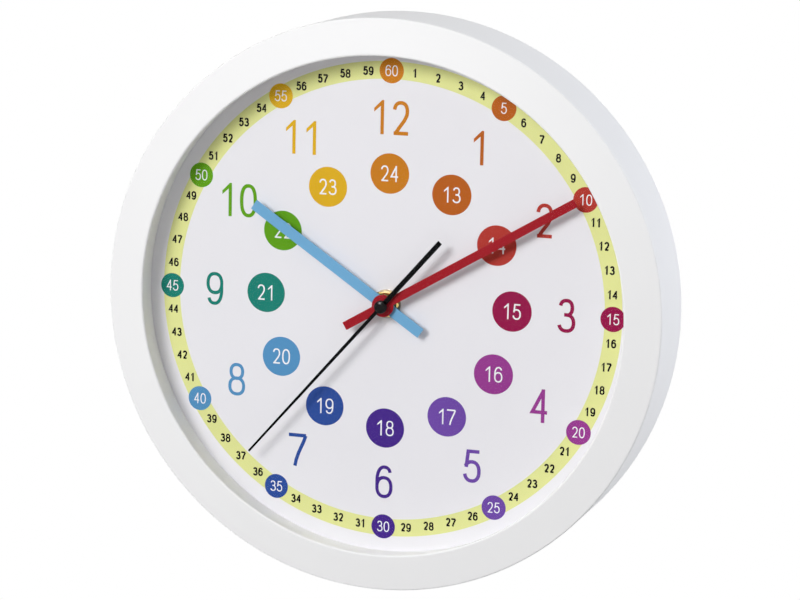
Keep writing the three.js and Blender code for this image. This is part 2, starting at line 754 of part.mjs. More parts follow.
function rotor() {
  return joined(
    disc(pivotRadius, plateFront, rearPivotEnd, pinSegments, rotorAxis),
    pinion(rotorPinionTeeth, rotorModule, intermediateWheelFront, rotorPinionPhase, rotorAxis),
    disc(magnetRadius, magnetFront, magnetBack, hubSegments, rotorAxis));
}

function thirdWheel() {
  return joined(
    disc(pivotRadius, lidPivotEnd, plateBack, pinSegments, thirdAxis),
    pinion(thirdPinionTeeth, centreModule, centreWheelFront, thirdPinionPhase, thirdAxis),
    wheel(thirdWheelTeeth, thirdModule, thirdWheelFront, thirdWheelPhase, thirdAxis));
}

function centreWheel() {
  const body = wheel(centreWheelTeeth, centreModule, centreWheelFront, centreWheelPhase, handsAxis);
  const bore = disc(minuteTubeRadius + pivotPlay, centreWheelFront - overrun,
    centreWheelFront + wheelWidth + overrun, hubSegments);
  return cut(body, bore);
}

function minuteTube() {
  const front = -minuteHandLevel - handThickness - tubeReach;
  const back = centreWheelFront + wheelWidth + levelGap / 2;
  const body = joined(
    disc(minuteTubeRadius, front, back, hubSegments),
    pinion(cannonPinionTeeth, minuteModule, minuteWheelFront, cannonPhase, handsAxis));
  return cut(body, disc(minuteTubeBore, front - overrun, back + overrun, hubSegments));
}

function minuteWheel() {
  return joined(
    disc(pivotRadius, lidPivotEnd, minuteWheelFront, pinSegments, minuteAxis),
    disc(knobArborRadius, minuteWheelFront, housingBack + knobThickness, pinSegments, minuteAxis),
    pinion(minutePinionTeeth, hourModule, hourWheelFront, minutePinionPhase, minuteAxis),
    wheel(minuteWheelTeeth, minuteModule, minuteWheelFront, minuteWheelPhase, minuteAxis));
}

function hourWheel() {
  const front = -hourHandLevel - handThickness - tubeReach / 2;
  const body = joined(
    disc(hourTubeRadius, front, hourWheelFront + wheelWidth / 2, hubSegments),
    wheel(hourWheelTeeth, hourModule, hourWheelFront, hourWheelPhase, handsAxis));
  return cut(body, disc(hourTubeBore, front - overrun, hourWheelFront + wheelWidth + overrun, hubSegments));
}

function settingKnob() {
  const step = 2 * Math.PI / knobGrips;
  const corners = [];
  for (let grip = 0; grip < knobGrips; grip += 1) {
    corners.push(polar(knobRadius, (grip - 0.25) * step), polar(knobRadius, (grip + 0.25) * step));
    corners.push(polar(knobRadius - knobGripDepth, (grip + 0.5) * step));
  }
  const [x, z] = minuteAxis;
  const body = joined(
    disc(knobRadius / 2, knobFront, knobBack, hubSegments, minuteAxis),
    plate(outline(corners), knobFront + knobHubLength, knobBack).translate([x, 0, z]));
  const bore = disc(knobArborRadius + seatGap, knobFront - overrun, housingBack + knobThickness + seatGap,
    pinSegments, minuteAxis);
  return cut(body, bore);
}

// Motor: stator, coil and its core

function stator() {
  const levels = [statorFront, statorBack];
  const barBottom = rotorAxis[1];
  const barTop = barBottom + statorBarHeight;
  const legs = [-1, 1].map((side) => {
    const sides = [side * statorHalfWidth, side * (statorHalfWidth - statorLegWidth)].sort((a, b) => a - b);
    return block(sides, levels, [barBottom, coilHeight + coreRadius]);
  });
  const bar = block([-statorHalfWidth, statorHalfWidth], levels, [barBottom, barTop]);
  const lobe = disc(statorBore + statorLobeWall, ...levels, hubSegments, rotorAxis);
  const bore = disc(statorBore, statorFront - overrun, statorBack + overrun, hubSegments, rotorAxis);
  return cut(joined(bar, lobe, ...legs), bore);
}

// A bar along X from one place to another, at the coil's height
function crossBar(radius, from, to, level = coilLevel, height = coilHeight) {
  const geometry = new THREE.CylinderGeometry(radius, radius, to - from, pinSegments);
  geometry.rotateZ(Math.PI / 2);
  geometry.translate((from + to) / 2, level, height);
  return solidOf(geometry);
}

const coilCore = () => crossBar(coreRadius, -statorHalfWidth, statorHalfWidth);

function coilBobbin() {
  const half = coilLength / 2;
  const flanges = [-1, 1].map((side) => {
    const ends = [side * half, side * (half - bobbinFlange)].sort((a, b) => a - b);
    return crossBar(bobbinFlangeRadius, ...ends);
  });
  return cut(
    joined(crossBar(bobbinSleeveRadius, -half, half), ...flanges),
    crossBar(coreRadius + seatGap, -half - overrun, half + overrun));
}

// The winding's outer layer shows as rounded turns over the sleeve
function coilWinding() {
  const inner = bobbinSleeveRadius + seatGap;
  const half = coilLength / 2 - bobbinFlange - seatGap;
  const turn = 2 * half / coilTurns;
  const points = [new THREE.Vector2(inner, -half)];
  for (let i = 0; i < coilTurns; i += 1) {
    points.push(new THREE.Vector2(coilRadius - turn / 4, -half + i * turn));
    points.push(new THREE.Vector2(coilRadius, -half + (i + 0.5) * turn));
  }
  points.push(new THREE.Vector2(coilRadius - turn / 4, half), new THREE.Vector2(inner, half));
  points.push(points[0].clone());
  const geometry = new THREE.LatheGeometry(points, pinSegments);
  geometry.rotateZ(Math.PI / 2);
  geometry.translate(0, coilLevel, coilHeight);
  return solidOf(geometry);
}

// Electronics and battery

const circuitBoard = () => block([-boardHalf, boardHalf], [boardFront, boardBack],
  [boardHeight - boardWidth / 2, boardHeight + boardWidth / 2]);

// The bare chip lies under a dome of resin
const driverChip = () => turned(
  chipDomeShares.map(([radius, rise]) => [radius * chipRadius, boardFront - seatGap - rise * chipHeight]),
  hubSegments, [-partOffset, boardHeight]);

const quartzCrystal = () => crossBar(crystalRadius, partOffset - crystalLength / 2,
  partOffset + crystalLength / 2, boardFront - seatGap - crystalRadius, boardHeight);

// The battery's flat end lies on the sprung contact, at the left
function battery() {
  const left = -bayHalf + seatGap + springReach + batteryPlay;
  const right = left + batteryLength;
  const points = [
    [0, left], [batteryRadius - batteryShoulder, left], [batteryRadius, left + batteryShoulder],
    [batteryRadius, right - batteryShoulder], [batteryRadius - batteryShoulder, right],
    [batteryNubRadius, right], [batteryNubRadius, right + batteryNubLength], [0, right + batteryNubLength],
  ].map(([radius, x]) => new THREE.Vector2(radius, x));
  const geometry = new THREE.LatheGeometry(points, hubSegments);
  geometry.rotateZ(-Math.PI / 2);
  geometry.translate(0, batteryLevel, batteryHeight);
  return solidOf(geometry);
}

// A flat strip on the bay's end wall, with a leg through the divider up to the board
function contactStrip(side) {
  const outer = side * (bayHalf - seatGap);
  const inner = side * (bayHalf - seatGap - contactThickness);
  const xs = [outer, inner].sort((a, b) => a - b);
  const half = contactWidth / 2;
  const leg = contactLegWidth / 2;
  return joined(
    block(xs, [batteryLevel - half, batteryLevel + half], [batteryHeight - half, bayTop - 2 * seatGap]),
    block(xs, [batteryLevel - leg, batteryLevel + leg], [bayTop - overrun, boardHeight + leg]),
    block(xs, [boardFront, batteryLevel + leg], [boardHeight - leg, boardHeight + leg]));
}

const positiveContact = () => contactStrip(1);

// The negative end's strip carries a folded leaf that pushes on the battery
function negativeContact() {
  const wall = -bayHalf + seatGap + contactThickness;
  const half = contactWidth / 2 - contactThickness;
  const bend = springReach - contactThickness;
  const leaf = new THREE.ExtrudeGeometry(outline([
    [wall - contactThickness / 2, batteryHeight - half],
    [wall, batteryHeight - half],
    [wall + bend, batteryHeight],
    [wall, batteryHeight + half],
    [wall - contactThickness / 2, batteryHeight + half],
    [wall - contactThickness / 2, batteryHeight + half - contactThickness],
    [wall + bend - contactThickness, batteryHeight],
    [wall - contactThickness / 2, batteryHeight - half + contactThickness],
  ]), { depth: contactLegWidth, bevelEnabled: false });
  leaf.rotateX(Math.PI / 2);
  leaf.translate(0, batteryLevel + contactLegWidth / 2, 0);
  return joined(contactStrip(-1), solidOf(leaf));
}

// Hands: flat bars with a round hub, pointing to 12 until they are turned

function handSolid(corners, hubRadius, boreRadius, level, angle) {
  const back = -level;
  const front = back - handThickness;
  const body = joined(plate(outline(corners), front, back), disc(hubRadius, front, back, hubSegments));
  const bored = cut(body, disc(boreRadius, front - overrun, back + overrun, hubSegments));
  return bored.rotate([0, THREE.MathUtils.radToDeg(angle), 0]);
}

function straightHand(reach, tail, width, hubRadius, boreRadius, level, angle) {
  const half = width / 2;
  return handSolid([[-half, -tail], [half, -tail], [half, reach], [-half, reach]],
    hubRadius, boreRadius, level, angle);
}

const hourHand = () => straightHand(hourHandReach, hourHandTail, hourHandWidth, hourHandHub,
  hourTubeRadius + seatGap, hourHandLevel, hourHandAngle);

const minuteHand = () => straightHand(minuteHandReach, minuteHandTail, minuteHandWidth, minuteHandHub,
  minuteTubeRadius + seatGap, minuteHandLevel, minuteHandAngle);

const secondsHand = () => handSolid([
  [-secondsHandWidth / 2, -secondsHandTail], [secondsHandWidth / 2, -secondsHandTail],
  [secondsHandWidth / 2, 0], [secondsHandNeck / 2, secondsHandHub],
  [secondsHandTip / 2, secondsHandReach], [-secondsHandTip / 2, secondsHandReach],
  [-secondsHandNeck / 2, secondsHandHub], [-secondsHandWidth / 2, 0],
], secondsHandHub, secondsArborRadius + seatGap, secondsHandLevel, secondsHandAngle);

function secondsCap() {
  const base = -capLevel;
  const dome = rounding(0, 0, 1, 0, -Math.PI / 2).map(([radius, rise], i, all) => [
    i === all.length - 1 ? 0 : radius * secondsCapRadius, base + rise * secondsCapHeight]);
  return turned([[0, base], ...dome], hubSegments);
}

// Materials

const finish = (color, roughness, metalness = 0, more = {}) =>
  new THREE.MeshStandardMaterial({ color, roughness, metalness, ...more });

const caseWhite = finish(0xf2f3f3, 0.35);
const coverWhite = finish(0xe6e7e6, 0.55);
const clearLens = finish(0xffffff, 0.05, 0, { transparent: true, opacity: 0.2 });
const dialPaper = finish(0xe9e9ef, 0.8);
const hardboard = finish(0x9a7a55, 0.9);
const blackPlastic = finish(0x1b1b1d, 0.5);
const naturalPlastic = finish(0xe8e2d2, 0.45);
const rubber = finish(0x2a2a2a, 0.9);
const brass = finish(0xc9a24a, 0.3, 1);
const steel = finish(0xb8bbc0, 0.35, 1);
const magnet = finish(0x4a4c50, 0.5, 0.8);
const copper = finish(0xb06a3a, 0.35, 1);
const boardGreen = finish(0x2f6b46, 0.6);
const batterySleeve = finish(0x3c4a5a, 0.4);
const hourBlue = finish(0x6fb1de, 0.45);
const minuteRed = finish(0xb5202f, 0.45);
const secondsBlack = finish(0x0b0b0c, 0.25);

// Assembly

const clock = new THREE.Group();
clock.name = 'teaching_wall_clock';

function add(name, solid, material) {
  const mesh = new THREE.Mesh(geometryOf(solid), material);
  mesh.name = name;
  clock.add(mesh);
}

add('front_frame', frontFrame(), caseWhite);
add('lens', lens(), clearLens);
add('dial_sheet', dialSheet(), dialPaper);
add('dial_plate', dialPlate(), hardboard);
add('back_cover', backCover(), coverWhite);
screwPlaces.forEach((place, i) => add(`cover_screw_${i + 1}`, screw(place), steel));

add('threaded_stem', threadedStem(), brass);
add('stem_washer', stemWasher(), steel);
add('stem_nut', stemNut(), brass);
add('rubber_gasket', rubberGasket(), rubber);

add('movement_lid', movementLid(), blackPlastic);
add('movement_shell', movementShell(), blackPlastic);
add('bearing_plate', bearingPlate(), naturalPlastic);

add('rotor', rotor(), magnet);
add('stator', stator(), steel);
add('coil_core', coilCore(), steel);
add('coil_bobbin', coilBobbin(), naturalPlastic);
add('coil_winding', coilWinding(), copper);
add('intermediate_wheel', intermediateWheel(), naturalPlastic);
add('seconds_wheel', secondsWheel(), naturalPlastic);
add('third_wheel', thirdWheel(), naturalPlastic);
add('centre_wheel', centreWheel(), naturalPlastic);
add('minute_tube', minuteTube(), naturalPlastic);
add('minute_wheel', minuteWheel(), naturalPlastic);
add('hour_wheel', hourWheel(), naturalPlastic);
add('setting_knob', settingKnob(), blackPlastic);

add('circuit_board', circuitBoard(), boardGreen);
add('driver_chip', driverChip(), blackPlastic);
add('quartz_crystal', quartzCrystal(), steel);
add('positive_contact', positiveContact(), steel);
add('negative_contact', negativeContact(), steel);
add('battery', battery(), batterySleeve);

add('hour_hand', hourHand(), hourBlue);
add('minute_hand', minuteHand(), minuteRed);
add('seconds_hand', secondsHand(), secondsBlack);
add('seconds_cap', secondsCap(), secondsBlack);

// The nail's seat goes to the origin: in the plane of the case's rear rim, at the top of the keyhole
clock.position.set(0, -caseBehindDial, -keyholeHeight);

const group = new THREE.Group();
group.add(clock);

export default group;
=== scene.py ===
# %% [markdown]
# # A teaching wall clock, dressed in Blender
#
# The clock is a round white plastic case with a deep well. In the well lie a printed dial, three
# hands and a clear lens, and behind it a battery movement turns the hands. The solids come from
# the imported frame. This lesson gives them the fine shapes, the print and the finishes of the real
# thing, one step at a time. Each code cell makes a piece, a finish or a tool for them, and prints
# what it made or measured.

import json
import math

import bpy
import numpy as np
from mathutils import Matrix, Vector
from mathutils.geometry import delaunay_2d_cdt, tessellate_polygon


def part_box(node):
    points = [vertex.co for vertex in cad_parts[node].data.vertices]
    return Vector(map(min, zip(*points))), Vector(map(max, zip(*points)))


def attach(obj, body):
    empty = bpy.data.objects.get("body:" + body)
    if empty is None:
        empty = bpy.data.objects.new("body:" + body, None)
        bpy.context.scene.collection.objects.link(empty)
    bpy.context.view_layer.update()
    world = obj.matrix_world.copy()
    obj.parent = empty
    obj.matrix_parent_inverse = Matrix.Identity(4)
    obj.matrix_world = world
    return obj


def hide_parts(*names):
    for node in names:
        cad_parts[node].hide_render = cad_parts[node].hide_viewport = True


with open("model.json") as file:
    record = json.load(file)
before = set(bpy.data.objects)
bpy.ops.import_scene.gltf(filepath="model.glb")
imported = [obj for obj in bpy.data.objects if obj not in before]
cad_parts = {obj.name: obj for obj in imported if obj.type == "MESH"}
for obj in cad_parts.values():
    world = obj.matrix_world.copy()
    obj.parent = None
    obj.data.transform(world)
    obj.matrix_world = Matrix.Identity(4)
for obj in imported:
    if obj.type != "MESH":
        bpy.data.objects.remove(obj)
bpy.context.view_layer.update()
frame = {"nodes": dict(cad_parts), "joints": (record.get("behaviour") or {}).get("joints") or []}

# %% [markdown]
# ## Where things are
#
# Everything in a clock is set out from the line that the hands turn on. So sizes below are in
# millimetres from the point where that line meets the dial's printed face: x to the right, y away
# from the reader and z up. One function moves finished points into the frame, in metres, and no
# object is moved after that.

# %% The dial's centre in the frame
MM = 0.001
hinges = {joint["child"]: joint["pos_m"] for joint in frame["joints"]}
hands_line = hinges["minute_train"]
dial_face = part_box("dial_sheet")[0].y
dial_centre = np.array([hands_line[0], dial_face, hands_line[2]])


def box_mm(node):
    """A node's lowest and highest corner, in millimetres from the dial's centre."""
    return [(np.array(corner) - dial_centre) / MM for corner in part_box(node)]


print("dial centre, metres:", dial_centre, "and its sheet, mm:", np.round(box_mm("dial_sheet"), 2))

# %% [markdown]
# ## The camera
#
# The photographer stood a little to the right of the clock and a little above it, about a metre
# and a half away. The angles, the distance and the focal length were found by fitting the dial's
# rings and the case's edges to the photograph. The camera is built from these angles directly,
# because then every number has a meaning.

# %% Camera
yaw, pitch, roll = (math.radians(angle) for angle in (17.8505, 10.2819, 0.6786))
camera_distance = 1473.5
aim_right, aim_up = 6.77, 1.87      # where the view's middle is, from the dial's centre
lens_mm, sensor_mm = 127.48, 36.0
nearest, farthest = 0.01, 50        # metres that the camera sees


def camera_axes(yaw, pitch, roll):
    """The view's right, up and backward directions: turned about z, tipped down, then rolled.

    Ahead is (-sin yaw * cos pitch, cos yaw * cos pitch, -sin pitch). The roll then turns right and
    up in the plane across it."""
    flat = math.cos(pitch)
    ahead = np.array([-math.sin(yaw) * flat, math.cos(yaw) * flat, -math.sin(pitch)])
    level = np.array([math.cos(yaw), math.sin(yaw), 0.0])
    above = np.cross(level, ahead)
    right = math.cos(roll) * level + math.sin(roll) * above
    up = math.cos(roll) * above - math.sin(roll) * level
    return right, up, -ahead


right, up, back = camera_axes(yaw, pitch, roll)
eye = dial_centre + (camera_distance * back + aim_right * right + aim_up * up) * MM
camera_data = bpy.data.cameras.new("photo_camera")
camera_data.sensor_width = sensor_mm
camera_data.lens = lens_mm
camera_data.clip_start, camera_data.clip_end = nearest, farthest
camera = bpy.data.objects.new("photo_camera", camera_data)
camera.matrix_world = Matrix(np.vstack([np.column_stack([right, up, back, eye]), [0, 0, 0, 1]]).tolist())
bpy.context.scene.collection.objects.link(camera)
bpy.context.scene.camera = camera
print("camera at", np.round(eye, 4))

# %% [markdown]
# ## Light and surroundings
#
# The clock was photographed in a studio, on pure white. The shadows of the hands fall a little way
# down to the right, so the main lamp stands in front, to the left by a third of its distance and
# up by half of it. A small bright lamp in the same place is seen by gloss alone, as the glint on
# the black cap. The outside of the case is bright on the right while the well is dark there, so a
# broad screen stands on that side, a little behind the clock. The last lamp lights only the back.

# %% Lamps
scene = bpy.context.scene
scene.view_settings.view_transform = "Standard"
key_place = (-0.70, -2.10, 0.90)


def lamp(name, place, size, power, beam, colour=(1, 1, 1)):
    """A square soft lamp at a place in metres, facing the dial's centre.

    Its beam, in degrees, is narrowed as by a grid, which keeps its light off the floor."""
    data = bpy.data.lights.new(name, "AREA")
    data.shape, data.size, data.energy, data.color = "SQUARE", size, power, colour
    data.spread = math.radians(beam)
    made = bpy.data.objects.new(name, data)
    turned_to_dial = (Vector(dial_centre) - Vector(place)).to_track_quat("-Z", "Y").to_matrix().to_4x4()
    made.matrix_world = Matrix.Translation(place) @ turned_to_dial
    scene.collection.objects.link(made)
    return made


lamp("key_lamp", key_place, 0.95, 4.62, 60)
lamp("glint_lamp", key_place, 0.2, 5.0, 60).visible_diffuse = False
lamp("side_screen", (1.65, 0.7, 0.42), 0.8, 2.05, 50, (0.9, 0.93, 1.0))
lamp("back_screen", (0.0, 1.75, -0.12), 0.28, 1.1, 50)

# %% [markdown]
# The world is a tree of nodes, as a material is. Four helpers keep such trees short: one makes a
# node, one gives a socket its value, one does a sum, and one tells which rays look at things
# directly, that is from the camera, in a mirror or through something clear.

# %% An empty world, and helpers for its tree
world = bpy.data.worlds.new("studio")
scene.world = world
world.use_nodes = True
world.node_tree.nodes.clear()


def chain(tree, kind, **settings):
    """A new node in a tree, with its settings made."""
    node = tree.nodes.new(kind)
    for key, value in settings.items():
        setattr(node, key, value)
    return node


def feed(tree, socket, value):
    """A number set on a socket, or another socket linked to it."""
    if isinstance(value, (int, float)):
        socket.default_value = value
    else:
        tree.links.new(value, socket)


def math_node(tree, operation, first, second):
    """One sum in a tree; either side is a socket or a number."""
    node = chain(tree, "ShaderNodeMath", operation=operation)
    for socket, value in zip(node.inputs, (first, second)):
        feed(tree, socket, value)
    return node.outputs[0]


def seen_directly(tree):
    """1 for camera, mirror and see-through rays, and 0 for the rest: the largest of three flags."""
    path = chain(tree, "ShaderNodeLightPath")
    seen = path.outputs["Is Camera Ray"]
    for ray in ("Is Glossy Ray", "Is Transmission Ray"):
        seen = math_node(tree, "MAXIMUM", seen, path.outputs[ray])
    return seen


directly = seen_directly(world.node_tree)
print("nodes that tell which rays look directly:", [node.name for node in world.node_tree.nodes])

# %% [markdown]
# The world has two backgrounds. Rays that look at things directly see pure white, so the ground of
# the picture is white without any more light on the clock. All other rays see a dim room, which is
# brighter in front of the clock than on the wall's side.

# %% World
ambient_level, ambient_lean, ambient_colour = 0.31, 0.15, (0.99, 0.985, 1.0, 1)
tree = world.node_tree
ambient, white = (chain(tree, "ShaderNodeBackground") for _ in range(2))
ambient.inputs["Color"].default_value = ambient_colour
white.inputs["Color"].default_value = (1, 1, 1, 1)
# The room's strength is ambient_level - ambient_lean * y, where y is the ray's way into the wall.
direction = chain(tree, "ShaderNodeSeparateXYZ")
tree.links.new(chain(tree, "ShaderNodeTexCoord").outputs["Generated"], direction.inputs[0])
lean = math_node(tree, "MULTIPLY", direction.outputs["Y"], -ambient_lean)
tree.links.new(math_node(tree, "ADD", lean, ambient_level), ambient.inputs["Strength"])
mix = chain(tree, "ShaderNodeMixShader")
for socket, value in zip(mix.inputs, (directly, ambient.outputs[0], white.outputs[0])):
    tree.links.new(value, socket)
tree.links.new(mix.outputs[0], chain(tree, "ShaderNodeOutputWorld").inputs["Surface"])
print("world nodes:", len(tree.nodes))

# %% [markdown]
# ## Surfaces from numbers
#
# Most pieces of a clock are turned: a profile of radius and depth, carried round a line. The rest
# are plates: an outline cut from sheet or moulded to one depth. Both are worked out here as whole
# tables of points. Real edges are never sharp, so every profile goes through a function that
# rounds its corners, and every plate has a small radius along its edges.

# %% Rounded corners
LONGEST_REACH, LONGEST_LEAD = 0.49, 0.495   # shares of a side that an arc, and its lead, may take
LEAD = 0.4                                  # of the radius


def rounded(corners, radius, steps=4):
    """A closed outline whose corners become arcs.

    Each arc touches both sides of its corner: its centre is on the line that halves the corner, at
    radius / sin(half the angle), and it starts at radius / tan(half the angle) from the corner.
    One more point, the lead, lies a little way before and after each arc. It keeps the smooth
    shading of the arc off the flat side. A radius of 0 leaves a corner sharp. Radii may be given
    corner by corner."""
    corner = np.asarray(corners, float)
    size = np.broadcast_to(np.asarray(radius, float), len(corner))
    before, after = np.roll(corner, 1, 0) - corner, np.roll(corner, -1, 0) - corner
    lengths = [np.linalg.norm(side, axis=1) for side in (before, after)]
    before, after = before / lengths[0][:, None], after / lengths[1][:, None]
    half = np.arccos(np.clip((before * after).sum(1), -1, 1)) / 2
    reach = np.minimum(size / np.tan(half), LONGEST_REACH * np.minimum(*lengths))
    middle = before + after
    middle /= np.maximum(np.linalg.norm(middle, axis=1), 1e-9)[:, None]
    centre = corner + middle * (reach / np.cos(half))[:, None]
    start, end = corner + before * reach[:, None], corner + after * reach[:, None]
    bend = (np.pi - 2 * half)[:, None]
    share = np.linspace(0, 1, steps + 1)[None, :]
    weight = np.sin(np.stack([(1 - share) * bend, share * bend])) / np.maximum(np.sin(bend), 1e-9)
    arcs = centre[:, None] + weight[0][..., None] * (start - centre)[:, None] + (
        weight[1][..., None] * (end - centre)[:, None])
    leads = [np.where(size > 0, np.minimum(reach + LEAD * size, LONGEST_LEAD * length), reach)[:, None]
             for length in lengths]
    first, last = corner + before * leads[0], corner + after * leads[1]
    points = np.concatenate([first[:, None], arcs, last[:, None]], 1).reshape(-1, 2)
    apart = np.linalg.norm(points - np.roll(points, 1, 0), axis=1) > 1e-6
    return points[apart]


print("points of a square with round corners:", len(rounded([[0, 0], [1, 0], [1, 1], [0, 1]], 0.1)))

# %% [markdown]
# A turned shape is a grid: one row for each point of its profile and one column for each direction
# round the line. Quads join neighbouring rows and columns. The last column is joined to the first
# by its point numbers, so there is no seam.

# %% Grids and turned shapes


def grid_faces(ids):
    """Quads between neighbouring rows and columns of a table of point numbers.

    Where a row has closed to one point, the quad loses a side and is a triangle."""
    quads = np.stack([ids[:-1, :-1], ids[1:, :-1], ids[1:, 1:], ids[:-1, 1:]], -1).reshape(-1, 4)
    first, last = quads[:, 0] == quads[:, 3], quads[:, 1] == quads[:, 2]
    return [quads[~first & ~last], quads[~first & last][:, [0, 1, 3]], quads[first & ~last][:, :3]]


def swept(radius, depth, place=(0, 0), along="y"):
    """Tables of radius and depth, one column to each of a full turn's equal angles, as a surface.

    A point at angle a is at radius * sin(a) and radius * cos(a) across the line, and at its depth
    along it. The line runs along y through a place (x, z), or along x through a place (y, z). A
    row on the line closes to one point, and if none is there, the last row joins the first."""
    radius, depth = np.broadcast_arrays(radius, depth)
    angle = np.arange(radius.shape[1]) * (2 * np.pi / radius.shape[1])
    across, upward = place[0] + radius * np.sin(angle), place[1] + radius * np.cos(angle)
    points = np.stack([across, depth, upward] if along == "y" else [depth, across, upward], -1)
    ids = np.arange(radius.size).reshape(radius.shape)
    ids = np.where(radius.max(1, keepdims=True) < 1e-9, ids[:, :1], ids)
    ids = np.concatenate([ids, ids[:, :1]], 1)
    if radius[0].max() > 1e-9:
        ids = np.concatenate([ids, ids[:1]])
    return points.reshape(-1, 3), grid_faces(ids)


def turned(profile, steps=256, place=(0, 0), along="y"):
    """A profile of (radius, depth) carried round a line."""
    radius, depth = (np.repeat(column[:, None], steps, 1) for column in np.asarray(profile, float).T)
    return swept(radius, depth, place, along)


def turned_solid(corners, radius, steps=256, place=(0, 0), along="y", arc_steps=4):
    """A turned shape whose corners are rounded, apart from those on its line."""
    corners = np.asarray(corners, float)
    on_line = corners[:, 0] < 1e-9
    profile = rounded(corners, np.where(on_line, 0, radius), arc_steps)
    if on_line.any():
        first = int(np.argmax((profile[:, 0] < 1e-9) & (np.roll(profile[:, 0], 1) < 1e-9)))
        profile = np.roll(profile, -first, 0)
    return turned(profile, steps, place, along)


def turned_ring(bore, radius, front, back, edge, steps=256, place=(0, 0)):
    """A rectangle of radius and depth carried round: a flat ring, or a disc if its bore is 0."""
    corners = [[bore, front], [radius, front], [radius, back], [bore, back]]
    return turned_solid(corners, edge, steps, place)


print("points of a small turned disc:", len(turned_ring(0, 1, 0, 1, 0.1, 32)[0]))

# %% [markdown]
# A plate has an outline and holes. Its edges are grids too. Its two faces are cut into triangles
# by Blender's own function for flat polygons.

# %% Plates


def circle(radius, steps=48, place=(0, 0), clockwise=False):
    """Points at (radius * cos(a), radius * sin(a)) from a place, at equal angles a of a full turn."""
    angle = np.arange(steps) * (2 * np.pi / steps) * (-1 if clockwise else 1)
    return np.stack([place[0] + radius * np.cos(angle), place[1] + radius * np.sin(angle)], 1)


def inset(loop, distance):
    """Every point of a loop moved to its left, so that both of its sides move by the distance.

    With a and b for the two sides' left-hand directions, it moves by distance * (a + b) / (1 + a . b)."""
    side = np.roll(loop, -1, 0) - loop
    left = np.stack([-side[:, 1], side[:, 0]], 1) / np.linalg.norm(side, axis=1)[:, None]
    before = np.roll(left, 1, 0)
    return loop + distance * (before + left) / (1 + (before * left).sum(1))[:, None]


def anticlockwise(points, triangles):
    """Flat triangles, each made to run anticlockwise, less those without area.

    Twice a triangle's area is the cross product of two of its sides."""
    (ax, az), (bx, bz), (cx, cz) = (points[triangles[:, i], :2].T for i in range(3))
    area = (bx - ax) * (cz - az) - (bz - az) * (cx - ax)
    return np.where((area > 0)[:, None], triangles, triangles[:, ::-1])[np.abs(area) > 1e-9]


def plate(loops, front, back, edge=0.15, edge_steps=3):
    """A plate between two depths: an outer loop anticlockwise in (x, z), and its holes clockwise.

    Each loop is carried through a row of levels, drawn in by edge * (1 - sin(a)) while it rises by
    edge * (1 - cos(a)), so that its edges are quarter rounds. A flat strip as wide as the edge lies
    inside each of them, and the rest of the two faces is cut into triangles between the loops."""
    angle = np.linspace(0, np.pi / 2, edge_steps + 1)
    drawn = np.concatenate([[2 * edge], edge * (1 - np.sin(angle))])
    rise = np.concatenate([[0], edge * (1 - np.cos(angle))])
    drawn = np.concatenate([drawn, drawn[::-1]])
    depths = np.concatenate([front + rise, (back - rise)[::-1]])
    points, faces, flat, first_rows, last_rows, start = [], [], [], [], [], 0
    for loop in loops:
        rows = np.stack([inset(loop, distance) for distance in drawn])
        depth = np.repeat(depths[:, None], len(loop), 1)
        points.append(np.stack([rows[..., 0], depth, rows[..., 1]], -1).reshape(-1, 3))
        ids = start + np.arange(depth.size).reshape(depth.shape)
        faces += grid_faces(np.concatenate([ids, ids[:, :1]], 1))
        flat.append([Vector((*point, 0)) for point in rows[0]])
        first_rows.append(ids[0])
        last_rows.append(ids[-1])
        start += ids.size
    cap = anticlockwise(np.concatenate(flat), np.array(tessellate_polygon(flat)))
    faces += [np.concatenate(first_rows)[cap], np.concatenate(last_rows)[cap[:, ::-1]]]
    return np.concatenate(points), faces


print("points of a small plate with a hole:",
      len(plate([circle(2.0), circle(1.0, clockwise=True)], 0, 1)[0]))

# %% [markdown]
# A piece is often several closed shapes that go a little way into each other. They are joined as
# they are, each with its faces pointing out. What a shape encloses tells which way they point: the
# sum is negative when they point in.

# %% Several shapes as one


def volume(shape):
    """What a closed shape encloses: a sixth of the sum of a . (b x c) over its triangles' corners."""
    points, faces = shape
    triangles = np.concatenate([part[:, [0, i, i + 1]] for part in faces if len(part)
                                for i in range(1, part.shape[1] - 1)])
    a, b, c = (points[triangles[:, i]] for i in range(3))
    return (a * np.cross(b, c)).sum() / 6


def outward(shape):
    """The same shape with its faces pointing out: turned round if it encloses less than nothing."""
    points, faces = shape
    return points, faces if volume(shape) > 0 else [part[:, ::-1] for part in faces]


def together(*shapes):
    """Several shapes as one, their points and faces counted on from each other."""
    points, faces, start = [], [], 0
    for shape_points, shape_faces in (outward(shape) for shape in shapes):
        points.append(shape_points)
        faces += [part + start for part in shape_faces]
        start += len(shape_points)
    return np.concatenate(points), faces


print("volume of a small turned disc:", round(volume(outward(turned_ring(0, 1, 0, 1, 0.1, 32))), 3))

# %% [markdown]
# A shape becomes a piece when it has a name, a finish and a body to ride on. Its points move to
# the frame here, in metres, so the object itself stays at the origin.

# %% From a shape to a piece


